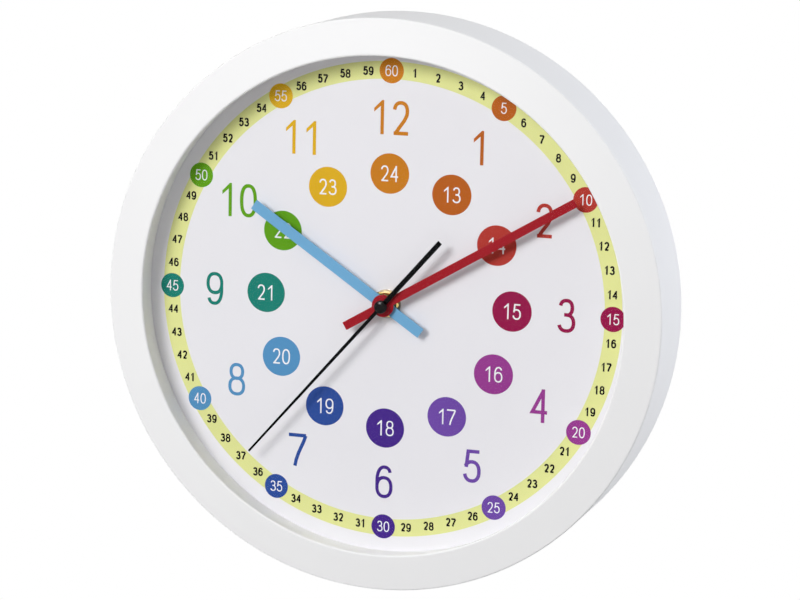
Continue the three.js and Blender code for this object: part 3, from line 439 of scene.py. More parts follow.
def piece(name, shape, material, body, replaces=(), smooth=35, colours=None):
    """A Blender object from a shape. Edges sharper than smooth, in degrees, stay sharp.

    Colours, one for each point, are kept in the mesh as an attribute named ink."""
    points, faces = outward(shape)
    used, numbers = np.unique(np.concatenate([part.ravel() for part in faces]), return_inverse=True)
    starts = np.cumsum([0] + [part.size for part in faces])
    polygons = [row for k, part in enumerate(faces)
                for row in numbers[starts[k]:starts[k + 1]].reshape(part.shape).tolist()]
    mesh = bpy.data.meshes.new(name)
    mesh.from_pydata((dial_centre + points[used] * MM).tolist(), [], polygons)
    mesh.validate()
    mesh.shade_smooth()
    mesh.set_sharp_from_angle(angle=math.radians(smooth))
    if colours is not None:
        opaque = np.c_[colours[used], np.ones(len(used))].astype(np.float32)
        mesh.color_attributes.new("ink", "FLOAT_COLOR", "POINT").data.foreach_set("color", opaque.ravel())
    mesh.materials.append(material)
    made = bpy.data.objects.new(name, mesh)
    scene.collection.objects.link(made)
    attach(made, body)
    if replaces:
        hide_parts(*replaces)
    size = np.ptp(points[used], axis=0)
    print(f"{name}: {len(polygons)} faces, {size[0]:.1f} x {size[1]:.1f} x {size[2]:.1f} mm")
    return made


print("nodes that pieces may replace:", len(frame["nodes"]))

# %% [markdown]
# ## Finishes
#
# Three effects do the work. Moulded plastic has a faint broad unevenness and a fine skin, and
# paint, card and ink have the same with other values. Turned metal shows rings round its line.
# Rolled or plated metal shows long fine lines, and so do the fibres of hardboard. Each effect is a
# node group that puts out a colour, a roughness and a normal, and a material gives it its values.

# %% Groups of nodes
NOISE_LOW, NOISE_HIGH = 0.3, 0.7     # where nearly all of a noise's values lie
PATCHES_PER_METRE, PATCH_DETAIL = 24, 3
skin_inputs = [
    ("NodeSocketColor", "Colour", (0.8, 0.8, 0.8, 1)),
    ("NodeSocketFloat", "Unevenness", 0.02),      # share by which the colour's brightness wanders
    ("NodeSocketFloat", "Roughness", 0.4),
    ("NodeSocketFloat", "Roughness spread", 0.05),
    ("NodeSocketFloat", "Grain size", 0.0006),    # metres
    ("NodeSocketFloat", "Grain depth", 0.00001),  # metres
]
skin_outputs = [("NodeSocketColor", "Colour"), ("NodeSocketFloat", "Roughness"),
                ("NodeSocketVector", "Normal")]


def node_group(name, inputs, outputs):
    """An empty shader group with named inputs (kind, name, value) and outputs (kind, name)."""
    group = bpy.data.node_groups.new(name, "ShaderNodeTree")
    for kind, label, value in inputs:
        group.interface.new_socket(label, in_out="INPUT", socket_type=kind).default_value = value
    for kind, label in outputs:
        group.interface.new_socket(label, in_out="OUTPUT", socket_type=kind)
    entry, leave = group.nodes.new("NodeGroupInput"), group.nodes.new("NodeGroupOutput")
    return group, entry.outputs, leave.inputs


def spread(tree, noise, low, high):
    """A noise carried over in proportion from its own range to the range from low to high."""
    node = chain(tree, "ShaderNodeMapRange")
    for label, value in (("From Min", NOISE_LOW), ("From Max", NOISE_HIGH), ("Value", noise),
                         ("To Min", low), ("To Max", high)):
        feed(tree, node.inputs[label], value)
    return node.outputs[0]


def surface_group(name, grain_field):
    """A group with broad patches of tone and shine, and a fine relief from a grain's own function.

    Brightness is 1 give or take the unevenness, and roughness wanders by half of its spread to
    either side, once with the patches and once with the grain."""
    group, given, out = node_group(name, skin_inputs, skin_outputs)
    place = chain(group, "ShaderNodeTexCoord").outputs["Object"]
    patches = chain(group, "ShaderNodeTexNoise")
    for label, value in (("Scale", PATCHES_PER_METRE), ("Detail", PATCH_DETAIL), ("Vector", place)):
        feed(group, patches.inputs[label], value)
    darkest, brightest = (math_node(group, way, 1.0, given["Unevenness"]) for way in ("SUBTRACT", "ADD"))
    tone = chain(group, "ShaderNodeHueSaturation")
    feed(group, tone.inputs["Color"], given["Colour"])
    feed(group, tone.inputs["Value"], spread(group, patches.outputs["Fac"], darkest, brightest))
    feed(group, out["Colour"], tone.outputs["Color"])
    grain = grain_field(group, place, given)
    fine, shine = (spread(group, noise, -0.5, 0.5) for noise in (grain, patches.outputs["Fac"]))
    wander = math_node(group, "MULTIPLY", math_node(group, "ADD", fine, shine), given["Roughness spread"])
    feed(group, out["Roughness"], math_node(group, "ADD", given["Roughness"], wander))
    bump = chain(group, "ShaderNodeBump")
    for label, value in (("Strength", 1.0), ("Distance", given["Grain depth"]), ("Height", grain)):
        feed(group, bump.inputs[label], value)
    feed(group, out["Normal"], bump.outputs["Normal"])
    return group


print("what each group puts out:", [label for _, label in skin_outputs])

# %% [markdown]
# The three grains are one noise in three kinds of coordinates: as they are, wound round the hands'
# line, and drawn out along x.

# %% Grains
GRAIN_DETAIL = 2
DRAWN_LENGTH = 30     # times its width


def fine_noise(tree, place, given):
    """Even grain in every direction of the coordinates given: noise of scale 1 / grain size."""
    noise = chain(tree, "ShaderNodeTexNoise")
    scale = math_node(tree, "DIVIDE", 1.0, given["Grain size"])
    for label, value in (("Detail", GRAIN_DETAIL), ("Scale", scale), ("Vector", place)):
        feed(tree, noise.inputs[label], value)
    return noise.outputs["Fac"]


def lathe_rings(tree, place, given):
    """Grain along circles round the hands' line: noise over the radius and the depth alone."""
    split, join = chain(tree, "ShaderNodeSeparateXYZ"), chain(tree, "ShaderNodeCombineXYZ")
    feed(tree, split.inputs[0], place)
    x = math_node(tree, "SUBTRACT", split.outputs["X"], float(dial_centre[0]))
    z = math_node(tree, "SUBTRACT", split.outputs["Z"], float(dial_centre[2]))
    squares = [math_node(tree, "MULTIPLY", side, side) for side in (x, z)]
    feed(tree, join.inputs["X"], math_node(tree, "SQRT", math_node(tree, "ADD", *squares), 0))
    feed(tree, join.inputs["Y"], split.outputs["Y"])
    return fine_noise(tree, join.outputs[0], given)


def drawn_lines(tree, place, given):
    """Grain drawn out along x: noise that is much longer than it is wide."""
    stretch = chain(tree, "ShaderNodeMapping")
    stretch.inputs["Scale"].default_value = (1 / DRAWN_LENGTH, 1, 1)
    feed(tree, stretch.inputs["Vector"], place)
    return fine_noise(tree, stretch.outputs[0], given)


moulded_skin = surface_group("moulded_skin", fine_noise)
turned_rings = surface_group("turned_rings", lathe_rings)
drawn_metal = surface_group("drawn_metal", drawn_lines)
print("groups:", [group.name for group in bpy.data.node_groups])

# %% [markdown]
# A material is one of these groups in front of a Principled shader. Its colour is written as it
# looks on a screen and turned into the linear values that a shader counts in.

# %% From a group to a material


def linear(*srgb):
    """A colour as it looks on a screen, 0 to 255, turned into the shader's linear values.

    A dark share is divided by 12.92, and a lighter one is ((share + 0.055) / 1.055) ^ 2.4."""
    share = np.array(srgb) / 255
    return tuple(np.where(share <= 0.04045, share / 12.92, ((share + 0.055) / 1.055) ** 2.4).tolist())


def finish(name, group, colour, roughness, uneven=0.02, rough_spread=0.06, grain=0.6, depth=0.01,
           attribute=None, **sockets):
    """A material: one surface group feeding a Principled shader.

    Grain and depth are in millimetres. Sockets are values set on the shader itself. With an
    attribute, the colour is read from the mesh and not from the value given."""
    material = bpy.data.materials.new(name)
    material.use_nodes = True
    material.diffuse_color = (*colour, 1)
    tree = material.node_tree
    shader = tree.nodes["Principled BSDF"]
    skin = chain(tree, "ShaderNodeGroup", node_tree=group)
    values = {"Colour": (*colour, 1), "Unevenness": uneven, "Roughness": roughness,
              "Roughness spread": rough_spread, "Grain size": grain * MM, "Grain depth": depth * MM}
    for socket, value in values.items():
        skin.inputs[socket].default_value = value
    if attribute:
        ink = chain(tree, "ShaderNodeAttribute", attribute_name=attribute)
        tree.links.new(ink.outputs["Color"], skin.inputs["Colour"])
    for result, socket in (("Colour", "Base Color"), ("Roughness", "Roughness"), ("Normal", "Normal")):
        tree.links.new(skin.outputs[result], shader.inputs[socket])
    for socket, value in sockets.items():
        shader.inputs[socket.replace("_", " ")].default_value = value
    return material


print("the shader's value for a mid grey:", round(linear(128, 128, 128)[0], 4))

# %% [markdown]
# Each finish below has a line of numbers: roughness, unevenness, roughness spread, then the size
# and the depth of its grain in millimetres. The whites and the card are matt and nearly even. The
# cap is the only mirror-smooth black. Ink and the battery's sleeve take their colours from the mesh.

# %% Materials
case_white = finish("case_white", moulded_skin, linear(246, 246, 246),
                    0.48, 0.006, 0.04, 0.9, 0.002, Specular_IOR_Level=0.14)
cover_white = finish("cover_white", moulded_skin, linear(232, 233, 231),
                     0.5, 0.01, 0.08, 0.35, 0.02)
dial_paper = finish("dial_paper", moulded_skin, linear(237, 236, 240),
                    0.62, 0.006, 0.05, 0.25, 0.004, Specular_IOR_Level=0.12)
dial_ink = finish("dial_ink", moulded_skin, (0.5, 0.5, 0.5),
                  0.5, 0.03, 0.06, 0.2, 0.003, attribute="ink", Specular_IOR_Level=0.08)
blue_paint = finish("blue_paint", moulded_skin, linear(112, 172, 213),
                    0.42, 0.02, 0.06, 0.3, 0.004, Specular_IOR_Level=0.12)
red_paint = finish("red_paint", moulded_skin, linear(159, 6, 26),
                   0.4, 0.02, 0.06, 0.3, 0.004, Specular_IOR_Level=0.12)
black_paint = finish("black_paint", moulded_skin, linear(3, 3, 4),
                     0.35, 0.05, 0.08, 0.3, 0.004, Specular_IOR_Level=0.04)
black_gloss = finish("black_gloss", moulded_skin, linear(1, 1, 1),
                     0.08, 0.05, 0.02, 0.8, 0.001, Specular_IOR_Level=0.14)
brass = finish("brass", turned_rings, linear(228, 196, 122),
               0.16, 0.04, 0.1, 0.12, 0.006, Metallic=1.0)
steel = finish("steel", drawn_metal, linear(196, 198, 202),
               0.28, 0.03, 0.1, 0.1, 0.003, Metallic=1.0)
# The washer's steel is darker and duller than steel is. That is painted shade for the shadow round the
# foot of the hub.
turned_steel_painted_shade = finish("turned_steel_painted_shade", turned_rings, linear(140, 134, 122),
                      0.4, 0.03, 0.1, 0.12, 0.004, Metallic=1.0)
natural_plastic = finish("natural_plastic", moulded_skin, linear(238, 232, 216),
                         0.42, 0.02, 0.06, 0.3, 0.004, Subsurface_Weight=0.1, Subsurface_Scale=0.001)
movement_black = finish("movement_black", moulded_skin, linear(24, 24, 26),
                        0.5, 0.08, 0.1, 0.25, 0.02, Specular_IOR_Level=0.25)
sleeve_print = finish("sleeve_print", moulded_skin, (0.1, 0.1, 0.1),
                      0.24, 0.04, 0.06, 0.5, 0.002, attribute="ink")
black_rubber = finish("black_rubber", moulded_skin, linear(36, 36, 37),
                      0.85, 0.08, 0.08, 0.4, 0.03)
hardboard = finish("hardboard", drawn_metal, linear(156, 122, 88),
                   0.85, 0.12, 0.08, 0.5, 0.05)
magnet = finish("magnet", moulded_skin, linear(66, 68, 72),
                0.5, 0.06, 0.1, 0.15, 0.01, Metallic=0.7)
copper_wire = finish("copper_wire", turned_rings, linear(186, 104, 60),
                     0.3, 0.05, 0.1, 0.2, 0.01, Metallic=1.0)
board_green = finish("board_green", moulded_skin, linear(38, 104, 62),
                     0.32, 0.08, 0.1, 0.4, 0.006)
chip_resin = finish("chip_resin", moulded_skin, linear(18, 18, 19),
                    0.3, 0.1, 0.1, 0.4, 0.01)
print("materials:", len(bpy.data.materials))

# %% [markdown]
# A pale floor lies below, as under a clock on its wall, and catches its shadow. Rays that look at
# it directly see it as pale as the world behind it, with the shadow kept: for those rays alone, an
# even glow is added to what the lamps do.

# %% Floor
floor_level, floor_half, floor_glow = -1.25, 1.9, 0.62
floor_card = finish("floor_card", moulded_skin, linear(244, 244, 244),
                    0.8, 0.01, 0.04, 2.0, 0.02)
floor_mesh = bpy.data.meshes.new("floor")
floor_mesh.from_pydata([(x * floor_half, y * floor_half, floor_level)
                        for x, y in ((-1, -1), (1, -1), (1, 1), (-1, 1))], [], [(0, 1, 2, 3)])
floor_mesh.materials.append(floor_card)
floor = bpy.data.objects.new("floor", floor_mesh)
scene.collection.objects.link(floor)
tree = floor_card.node_tree
shader = tree.nodes["Principled BSDF"]
shader.inputs["Emission Color"].default_value = (1, 1, 1, 1)
glow = math_node(tree, "MULTIPLY", seen_directly(tree), floor_glow)
tree.links.new(glow, shader.inputs["Emission Strength"])

# %% [markdown]
# The lens is clear. Light has to pass it on the way to the dial, so it is a thin clear skin and
# not a solid block of glass. It lets everything through, apart from a share of what Fresnel's law
# throws back, which is more at a slant than square on. The share is small, because the photograph
# shows no reflection in the lens.

# %% Clear lens material
mirror_share = 0.05
lens_clear = finish("lens_clear", moulded_skin, (1.0, 1.0, 1.0),
                    0.03, 0.01, 0.02, 4.0, 0.0005, Metallic=1.0)
tree = lens_clear.node_tree
fresnel = chain(tree, "ShaderNodeFresnel")
fresnel.inputs["IOR"].default_value = 1.49
reflected = math_node(tree, "MULTIPLY", fresnel.outputs[0], mirror_share)
tree.links.new(reflected, tree.nodes["Principled BSDF"].inputs["Alpha"])
print("nodes in the lens's material:", len(tree.nodes))

# %% [markdown]
# ## The case
#
# The front of the clock is one moulding: a side wall, a broad front ring that rises a little
# towards the opening, a lip that holds the lens, and the wall of the well. Its profile goes once
# round the hands' line. Behind the ring stand six posts for the cover's screws.

# %% Front frame
case_radius, front_edge_radius = 150.0, 149.6
aperture_radius, well_radius, well_outer_radius = 130.3, 132.6, 134.8
rim_back, side_wall, face_back, well_back = 28.0, 2.4, -13.2, -0.1
face_outer, face_inner, lip_back = -15.6, -18.0, -15.6
flange_front, flange_back = 22.6, 24.6
screw_circle, screw_radius, screw_count = 141.2, 1.3, 6
post_radius, post_bore, bore_depth = 3.6, 1.4, 13
screw_places = [(screw_circle * math.cos(angle), screw_circle * math.sin(angle))
                for angle in (math.pi / screw_count * (2 * i + 1) for i in range(screw_count))]

shell = turned_solid([
    [case_radius, rim_back], [front_edge_radius, face_outer], [aperture_radius, face_inner],
    [aperture_radius, lip_back], [well_radius, lip_back], [well_radius, well_back],
    [well_outer_radius, well_back], [well_outer_radius, face_back],
    [front_edge_radius - side_wall, face_back], [case_radius - side_wall, rim_back],
], [0.6, 0.9, 1.0, 0.25, 0.2, 0.15, 0.15, 0.6, 0.8, 0.3], 320, arc_steps=8)
frame_posts = [turned_solid([
    [0, face_back - 0.2], [post_radius, face_back - 0.2], [post_radius, flange_front - 0.1],
    [post_bore, flange_front - 0.1], [post_bore, flange_front - bore_depth],
    [0, flange_front - bore_depth],
], 0.25, 32, place) for place in screw_places]
piece("front_case", together(shell, *frame_posts), case_white, "case", ["front_frame"])

# %% [markdown]
# ## The lens
#
# A flat disc of clear plastic lies behind the lip. It is made as a turned shape with a polished
# edge.

# %% Lens
lens_radius, lens_front, lens_back = 132.3, -15.5, -14.0
piece("clear_lens", turned_ring(0, lens_radius, lens_front, lens_back, 0.2),
      lens_clear, "case", ["lens"])

# %% [markdown]
# ## The dial
#
# The dial is a round card, printed in colour, on a board. The card is turned like the rest, with
# the hole for the stem. The print is laid on it as very thin pieces, because their edges stay
# sharp however close one looks. An image would blur.

# %% Dial card
dial_radius, stem_hole, dial_thickness = 136.8, 4.1, 0.4
piece("dial_card", turned_ring(stem_hole, dial_radius, 0, dial_thickness, 0.05),
      dial_paper, "case", ["dial_sheet"])

# %% [markdown]
# ### Numerals from strokes
#
# Every numeral is drawn here, so no font is needed. A numeral is a few strokes in a box one wide
# and one high: straight runs and parts of ovals. Only the 1 is an outline, because its flag tapers.

# %% Strokes of the numerals


def bow(x, z, half_width, half_height, start, end, steps=18, square=2.3):
    """Part of an oval from one angle to another, in degrees from +x, anticlockwise if end > start.

    The power square makes it fuller than an ellipse: |cos|^(2/square) and |sin|^(2/square)."""
    angle = np.radians(np.linspace(start, end, steps + 1))
    cosine, sine = np.cos(angle), np.sin(angle)
    return np.stack([x + half_width * np.sign(cosine) * np.abs(cosine) ** (2 / square),
                     z + half_height * np.sign(sine) * np.abs(sine) ** (2 / square)], 1)


six = [bow(0.5, 0.32, 0.5, 0.32, 90, 466, 27),
       np.concatenate([bow(0.52, 0.76, 0.41, 0.24, 12, 88, 8), bow(0.52, 0.5, 0.52, 0.5, 90, 190, 16)])]
NUMERAL_STROKES = {
    "0": [bow(0.5, 0.5, 0.5, 0.5, 90, 466, 33, 2.4)],
    "2": [np.concatenate([bow(0.47, 0.72, 0.45, 0.28, 172, -28, 18),
                          [[0.72, 0.42], [0.36, 0.18], [0.12, 0.0]]]), [[-0.02, 0.0], [1.0, 0.0]]],
    "3": [bow(0.46, 0.76, 0.41, 0.24, 168, -88, 16), bow(0.48, 0.265, 0.5, 0.265, 96, -166, 18),
          [[0.32, 0.53], [0.5, 0.53]]],
    "4": [[[0.73, 1.0], [0.0, 0.29], [1.03, 0.29]], [[0.73, 1.06], [0.73, -0.06]]],
    "5": [[[0.98, 1.0], [0.19, 1.0], [0.07, 0.46]], bow(0.47, 0.325, 0.51, 0.325, 152, -166, 20)],
    "6": six,
    "7": [[[-0.2, 1.0], [1.06, 1.0]],
          [[1.04, 1.0], [0.87, 0.77], [0.7, 0.59], [0.53, 0.4], [0.36, 0.16], [0.27, -0.06]]],
    "8": [bow(0.5, 0.765, 0.42, 0.235, 90, 466, 25), bow(0.5, 0.27, 0.5, 0.27, 90, 466, 27)],
    "9": [1 - stroke for stroke in six],
}
print("strokes of each digit:", {digit: len(strokes) for digit, strokes in NUMERAL_STROKES.items()})

# %% [markdown]
# A stroke is given width by moving its middle line to both sides, with the corners mitred. Bold
# numerals are a little wider, and crowded digits have thinner strokes, which keeps them open.

# %% Numbers from strokes
NUMERAL_WIDTH, NUMERAL_ADVANCE = 0.54, 0.637   # of its height
PLAIN_WEIGHT = 0.11                            # a stroke wider than this share of the height is bold
BOLD_WIDER = 0.5                               # of what the weight is over the plain one
THINNER = {"1": 0.05, "6": 0.05, "8": 0.09, "9": 0.06}   # shares of the stroke that are left out
BOLD_THINNER = {"4": 0.35}                     # of what the weight is over the plain one
MITRE_LIMIT = 0.35                             # under this, a sharp corner's mitre grows no longer


def ribbon(line, half):
    """The quads of a stroke: its middle line moved to both sides, mitred where it turns.

    A point moves as in inset, by half * (a + b) / (1 + a . b)."""
    side = np.diff(line, axis=0)
    left = np.stack([-side[:, 1], side[:, 0]], 1) / np.linalg.norm(side, axis=1)[:, None]
    before, after = np.concatenate([left[:1], left]), np.concatenate([left, left[-1:]])
    mitre = (before + after) / np.maximum(1 + (before * after).sum(1), MITRE_LIMIT)[:, None]
    upper, lower = line + half * mitre, line - half * mitre
    return np.stack([lower[:-1], lower[1:], upper[1:], upper[:-1]], 1)


def one(height, stroke):
    """The outline of a 1: a stem, and a flag that comes down to the left from the stem's top.

    The stem's right side moves out by a fifth of what the stroke is over a tenth of the height."""
    right = 0.427 * height + 0.2 * (stroke - 0.1 * height)
    tip, tip_height, notch_height = 0.125 * height, 0.76 * height, 0.83 * height
    return np.array([
        [right - stroke, 0], [right, 0], [right, height], [right - 0.62 * stroke, height],
        [tip, tip_height], [tip, tip_height - 1.1 * stroke], [right - stroke, notch_height]])


def numeral(digit, height, weight):
    """The polygons of one digit, from the left end of its advance and its foot, in millimetres.

    The weight is the width of its strokes as a share of its height."""
    bold = max(weight - PLAIN_WEIGHT, 0)
    thin = weight * (1 - THINNER.get(digit, 0)) - BOLD_THINNER.get(digit, 0) * bold
    stroke, width = thin * height, NUMERAL_WIDTH + BOLD_WIDER * bold
    if digit == "1":
        return [one(height, stroke)]
    corner = np.array([(NUMERAL_ADVANCE - width) / 2 * height + stroke / 2, stroke / 2])
    span = np.array([width * height - stroke, height - stroke])
    return [quad for line in NUMERAL_STROKES[digit]
            for quad in ribbon(corner + np.asarray(line) * span, stroke / 2)]


def number(text, height, weight):
    """The polygons of a whole number, centred on its middle: its digits lie an advance apart."""
    advance = NUMERAL_ADVANCE * height
    return [polygon + [(i - len(text) / 2) * advance, -height / 2]
            for i, digit in enumerate(text) for polygon in numeral(digit, height, weight)]


print("polygons of 24:", len(number("24", 8.25, 0.097)))

# %% [markdown]
# Where strokes cross, the outlines are joined by a flat triangulation that keeps whatever lies
# inside any of them. The joined outlines get a little thickness, a few hundredths of a millimetre,
# with a closed back. Real ink is thinner still, but a renderer needs a gap between one layer and
# the next.

# %% Ink


def joined_outline(polygons):
    """The flat union of polygons: triangles inside at least one of them, anticlockwise."""
    starts = np.cumsum([0] + [len(polygon) for polygon in polygons])
    corners = [Vector(point) for polygon in polygons for point in polygon.tolist()]
    loops = [list(range(a, b)) for a, b in zip(starts[:-1], starts[1:])]
    found = delaunay_2d_cdt(corners, [], loops, 1, 1e-5)
    points = np.array([list(point) for point in found[0]])
    inside = [len(sources) > 0 for sources in found[5]]
    return points, anticlockwise(points, np.array(found[2])[inside])


def ink_slab(flat, front, back):
    """A flat triangulation as a closed slab: a front, a back, and a wall under every edge that
    belongs to one triangle only."""
    points, triangles = flat
    count = len(points)
    edges = np.concatenate([triangles[:, [i, (i + 1) % 3]] for i in range(3)])
    codes = edges[:, 0] * count + edges[:, 1]
    outer = edges[~np.isin(codes, edges[:, 1] * count + edges[:, 0])]
    layers = [np.stack([points[:, 0], np.full(count, depth), points[:, 1]], 1) for depth in (front, back)]
    walls = np.stack([outer[:, 1], outer[:, 0], outer[:, 0] + count, outer[:, 1] + count], 1)
    return np.concatenate(layers), [triangles, triangles[:, ::-1] + count, walls]


def printed(name, marks, front, back=0.02):
    """One piece of print from marks of (flat outline, place, colour), each moved to its place."""
    shapes, colours = [], []
    for flat, place, colour in marks:
        shape = ink_slab((flat[0] + place, flat[1]), front, back)
        shapes.append(shape)
        colours.append(np.repeat([colour], len(shape[0]), 0))
    return piece(name, together(*shapes), dial_ink, "case", colours=np.concatenate(colours))


print("triangles of a joined 24:", len(joined_outline(number("24", 8.25, 0.097))[1]))

# %% [markdown]
# ### What is printed
#
# From the rim inwards: a pale yellow-green band with the minutes, a coloured disc at every fifth
# minute, the hours in large thin numerals, and a ring of discs with the hours from 13 to 24. One
# colour goes with each hour all the way in, so that a child can follow it. The sheet was laid
# half a degree round and a millimetre high, so the whole print is set off from the hands' line.

# %% Places and colours of the print
print_lean, print_right, print_rise = math.radians(0.463), 0.2, 0.93
minute_ring, day_ring, hour_ring = 120.5, 67.3, 96.3
hour_colours = [linear(*colour) for colour in (
    (202, 124, 20), (184, 93, 18), (180, 54, 44), (148, 10, 70), (152, 58, 144), (110, 72, 166),
    (68, 36, 136), (42, 76, 154), (83, 146, 194), (20, 127, 112), (95, 161, 10), (222, 174, 25))]
band_colour, black_colour, white_colour = linear(228, 231, 154), linear(2, 2, 2), linear(243, 243, 246)


def place_on(ring_radius, share):
    """A place on a ring, a share of a turn clockwise from 12, with the sheet's lean and offset."""
    angle = 2 * np.pi * share + print_lean
    return print_right + ring_radius * math.sin(angle), print_rise + ring_radius * math.cos(angle)


def clockwise(points, angle):
    """Flat points turned clockwise: (x cos + z sin, z cos - x sin) of an angle in radians."""
    c, s = math.cos(angle), math.sin(angle)
    return points @ np.array([[c, -s], [s, c]])


print("the third hour's numeral is at", np.round(place_on(hour_ring, 3 / 12), 2))

# %% [markdown]
# A row of print is one piece, and its marks are made by a loop round the dial. Each layer stands a
# little in front of the one below: the band, the discs, and the numerals on them.

# %% Band, discs and numerals
band_inner, band_outer, band_front = 116.2, 125.4, -0.02
minute_disc, day_disc, disc_front = 6.53, 10.5, -0.04
on_band_front, on_disc_front = -0.045, -0.06


def ring_outline(inner, outer, steps):
    """A flat ring of quads cut into triangles, or a disc if its inner radius is 0."""
    here = np.arange(steps)
    ahead = (here + 1) % steps
    if inner == 0:
        hub = np.full(steps, steps)
        return np.concatenate([circle(outer, steps), [[0, 0]]]), np.stack([here, ahead, hub], 1)
    halves = [here, ahead, ahead + steps], [here, ahead + steps, here + steps]
    return (np.concatenate([circle(outer, steps), circle(inner, steps)]),
            np.concatenate([np.stack(half, 1) for half in halves]))


def disc_row(name, ring_radius, disc_radius, steps):
    """A disc for each hour on a ring, in the hour's colour."""
    disc = ring_outline(0, disc_radius, steps)
    printed(name, [(disc, place_on(ring_radius, h / 12), hour_colours[h]) for h in range(12)], disc_front)


def number_row(name, ring_radius, values, height, weight, colours, front):
    """Numbers at equal steps round a ring, clockwise from 12. A value of 0 leaves its place bare."""
    marks = []
    for i, value in enumerate(values):
        if value:
            polygons = [clockwise(polygon, print_lean) for polygon in number(str(value), height, weight)]
            marks.append((joined_outline(polygons), place_on(ring_radius, i / len(values)), colours[i]))
    printed(name, marks, front)


band = ring_outline(band_inner, band_outer, 360)
printed("minute_band", [(band, place_on(0, 0), band_colour)], band_front)
disc_row("minute_discs", minute_ring, minute_disc, 64)
disc_row("day_discs", day_ring, day_disc, 96)
number_row("hour_numerals", hour_ring, [12, *range(1, 12)], 17.7, 0.107, hour_colours, disc_front)
number_row("minute_numerals", minute_ring, [m if m % 5 else 0 for m in range(60)],
           4.62, 0.198, [black_colour] * 60, on_band_front)
number_row("minute_disc_numerals", minute_ring, [60, *range(5, 60, 5)],
           5.7, 0.096, [white_colour] * 12, on_disc_front)
number_row("day_disc_numerals", day_ring, [24, *range(13, 24)],
           8.25, 0.097, [white_colour] * 12, on_disc_front)

# %% [markdown]
# ## The hands
#
# The hour and minute hands are stamped from thin sheet with a round eye, and painted. Their
# outline is a bar that runs into a circle. The seconds hand is a slim needle with a broad tail.
# A plate with a small radius along its edges gives the thin bright line that paint shows there.

# %% Three hands


def arc(radius, start, end, z=0.0, steps=24):
    """Part of a circle round (0, z), between two angles in degrees from +x."""
    angle = np.radians(np.linspace(start, end, steps + 1))
    return np.stack([radius * np.cos(angle), z + radius * np.sin(angle)], 1)


def bar_end(half, tip_half, reach, corner, eye):
    """A bar that points up, from where it leaves the eye round its tip and back to the eye."""
    line = rounded([[half, 0], [tip_half, reach], [-tip_half, reach], [-half, 0]], [0, corner, corner, 0])
    return line[np.abs(line[:, 1]) > eye]


def hand_outline(ahead, behind, eye, eye_steps):
    """A hand that points to 12: a bar ahead of a round eye, and one behind it that is turned round.

    Each bar is (half its width at the eye, half at its tip, reach, corner). Its sides leave the eye
    at arccos(half / eye) above or below the eye's middle."""
    above, below = (math.degrees(math.acos(bar[0] / eye)) for bar in (ahead, behind))
    side = arc(eye, -below, above, steps=eye_steps)
    return np.concatenate([side, bar_end(*ahead, eye), side[::-1] * [-1, 1], -bar_end(*behind, eye)])


def hand(name, outline, bore, angle, material, body, node, edge=0.14):
    """A hand as a plate as deep as its node, turned clockwise from 12 by an angle in degrees."""
    front, back = (corner[1] for corner in box_mm(node))
    loops = [clockwise(outline, math.radians(angle)), circle(bore, clockwise=True)]
    return piece(name, plate(loops, front, back, edge), material, body, [node])


hand("blue_hour_hand", hand_outline((2.88, 2.88, 87.2, 0.35), (2.88, 2.88, 24.2, 0.35), 4.9, 32),
     2.6, 304.1, blue_paint, "hour_train", "hour_hand")
hand("red_minute_hand", hand_outline((2.25, 2.25, 117.6, 0.35), (2.25, 2.25, 24.1, 0.35), 5.9, 32),
     1.7, 59.65, red_paint, "minute_train", "minute_hand")
hand("black_seconds_hand", hand_outline((0.95, 0.55, 110.4, 0.2), (1.3, 1.3, 47.3, 0.3), 2.5, 24),
     0.6, 221.5, black_paint, "seconds_train", "seconds_hand", 0.12)

# %% [markdown]
# A glossy black cap covers the seconds hand's hub. Its top is a shallow crown that runs into a
# small shoulder, and a shallow crown holds a lamp's image. The shoulder's middle lies on the
# crown's own radius, so that the two curves meet in one line.

# %% Cap
cap_radius, cap_base, cap_height, foot_bevel = 3.4, -9.8, 2.9, 0.25
crown_radius, shoulder_radius, top_steps = 7.5, 1.0, 12
meeting = math.asin((cap_radius - shoulder_radius) / (crown_radius - shoulder_radius))
crown_middle = cap_base - cap_height + crown_radius
shoulder_middle = crown_middle - (crown_radius - shoulder_radius) * math.cos(meeting)
meeting_angle = math.degrees(meeting) - 90
crown = arc(crown_radius, -90, meeting_angle, crown_middle, top_steps)
shoulder = arc(shoulder_radius, meeting_angle, 0, shoulder_middle, top_steps)
shoulder[:, 0] += cap_radius - shoulder_radius
foot = [[0, cap_base], [cap_radius - foot_bevel, cap_base], [cap_radius, cap_base - foot_bevel]]
cap_profile = np.concatenate([foot, shoulder[:0:-1], crown[::-1]])
piece("domed_cap", turned(cap_profile, 96), black_gloss, "seconds_train", ["seconds_cap"])

# %% [markdown]
# ## Stem, nut and washer
#
# The movement is held to the dial by a threaded brass stem with a washer and a hexagon nut. A
# thread is a turned surface whose radius rises and falls with its depth and its angle together,
# which is what makes it a helix. The nut is a grid too: its sides follow a hexagon, and a cone
# cuts the corners away.

# %% Stem and nut


def threaded(inner, root, crest, pitch, front, back, steps=72, rows_per_turn=8, place=(0, 0)):
    """A tube whose outer radius is a triangle wave of (depth / pitch + angle / full turn).

    The thread fades over half a pitch at both ends."""
    angle = np.arange(steps) * (2 * np.pi / steps)
    rows = int((back - front) / pitch * rows_per_turn)
    depth = np.linspace(front, back, rows)[:, None]
    wave = np.abs(((depth / pitch + angle / (2 * np.pi)) % 1) * 2 - 1)
    ease = np.clip(np.minimum(depth - front, back - depth) / (0.5 * pitch), 0, 1)
    bore = np.full((1, steps), inner)
    radius = np.concatenate([bore, root + (crest - root) * wave * ease, bore])
    return swept(radius, np.concatenate([[[front]], depth, [[back]]]), place)


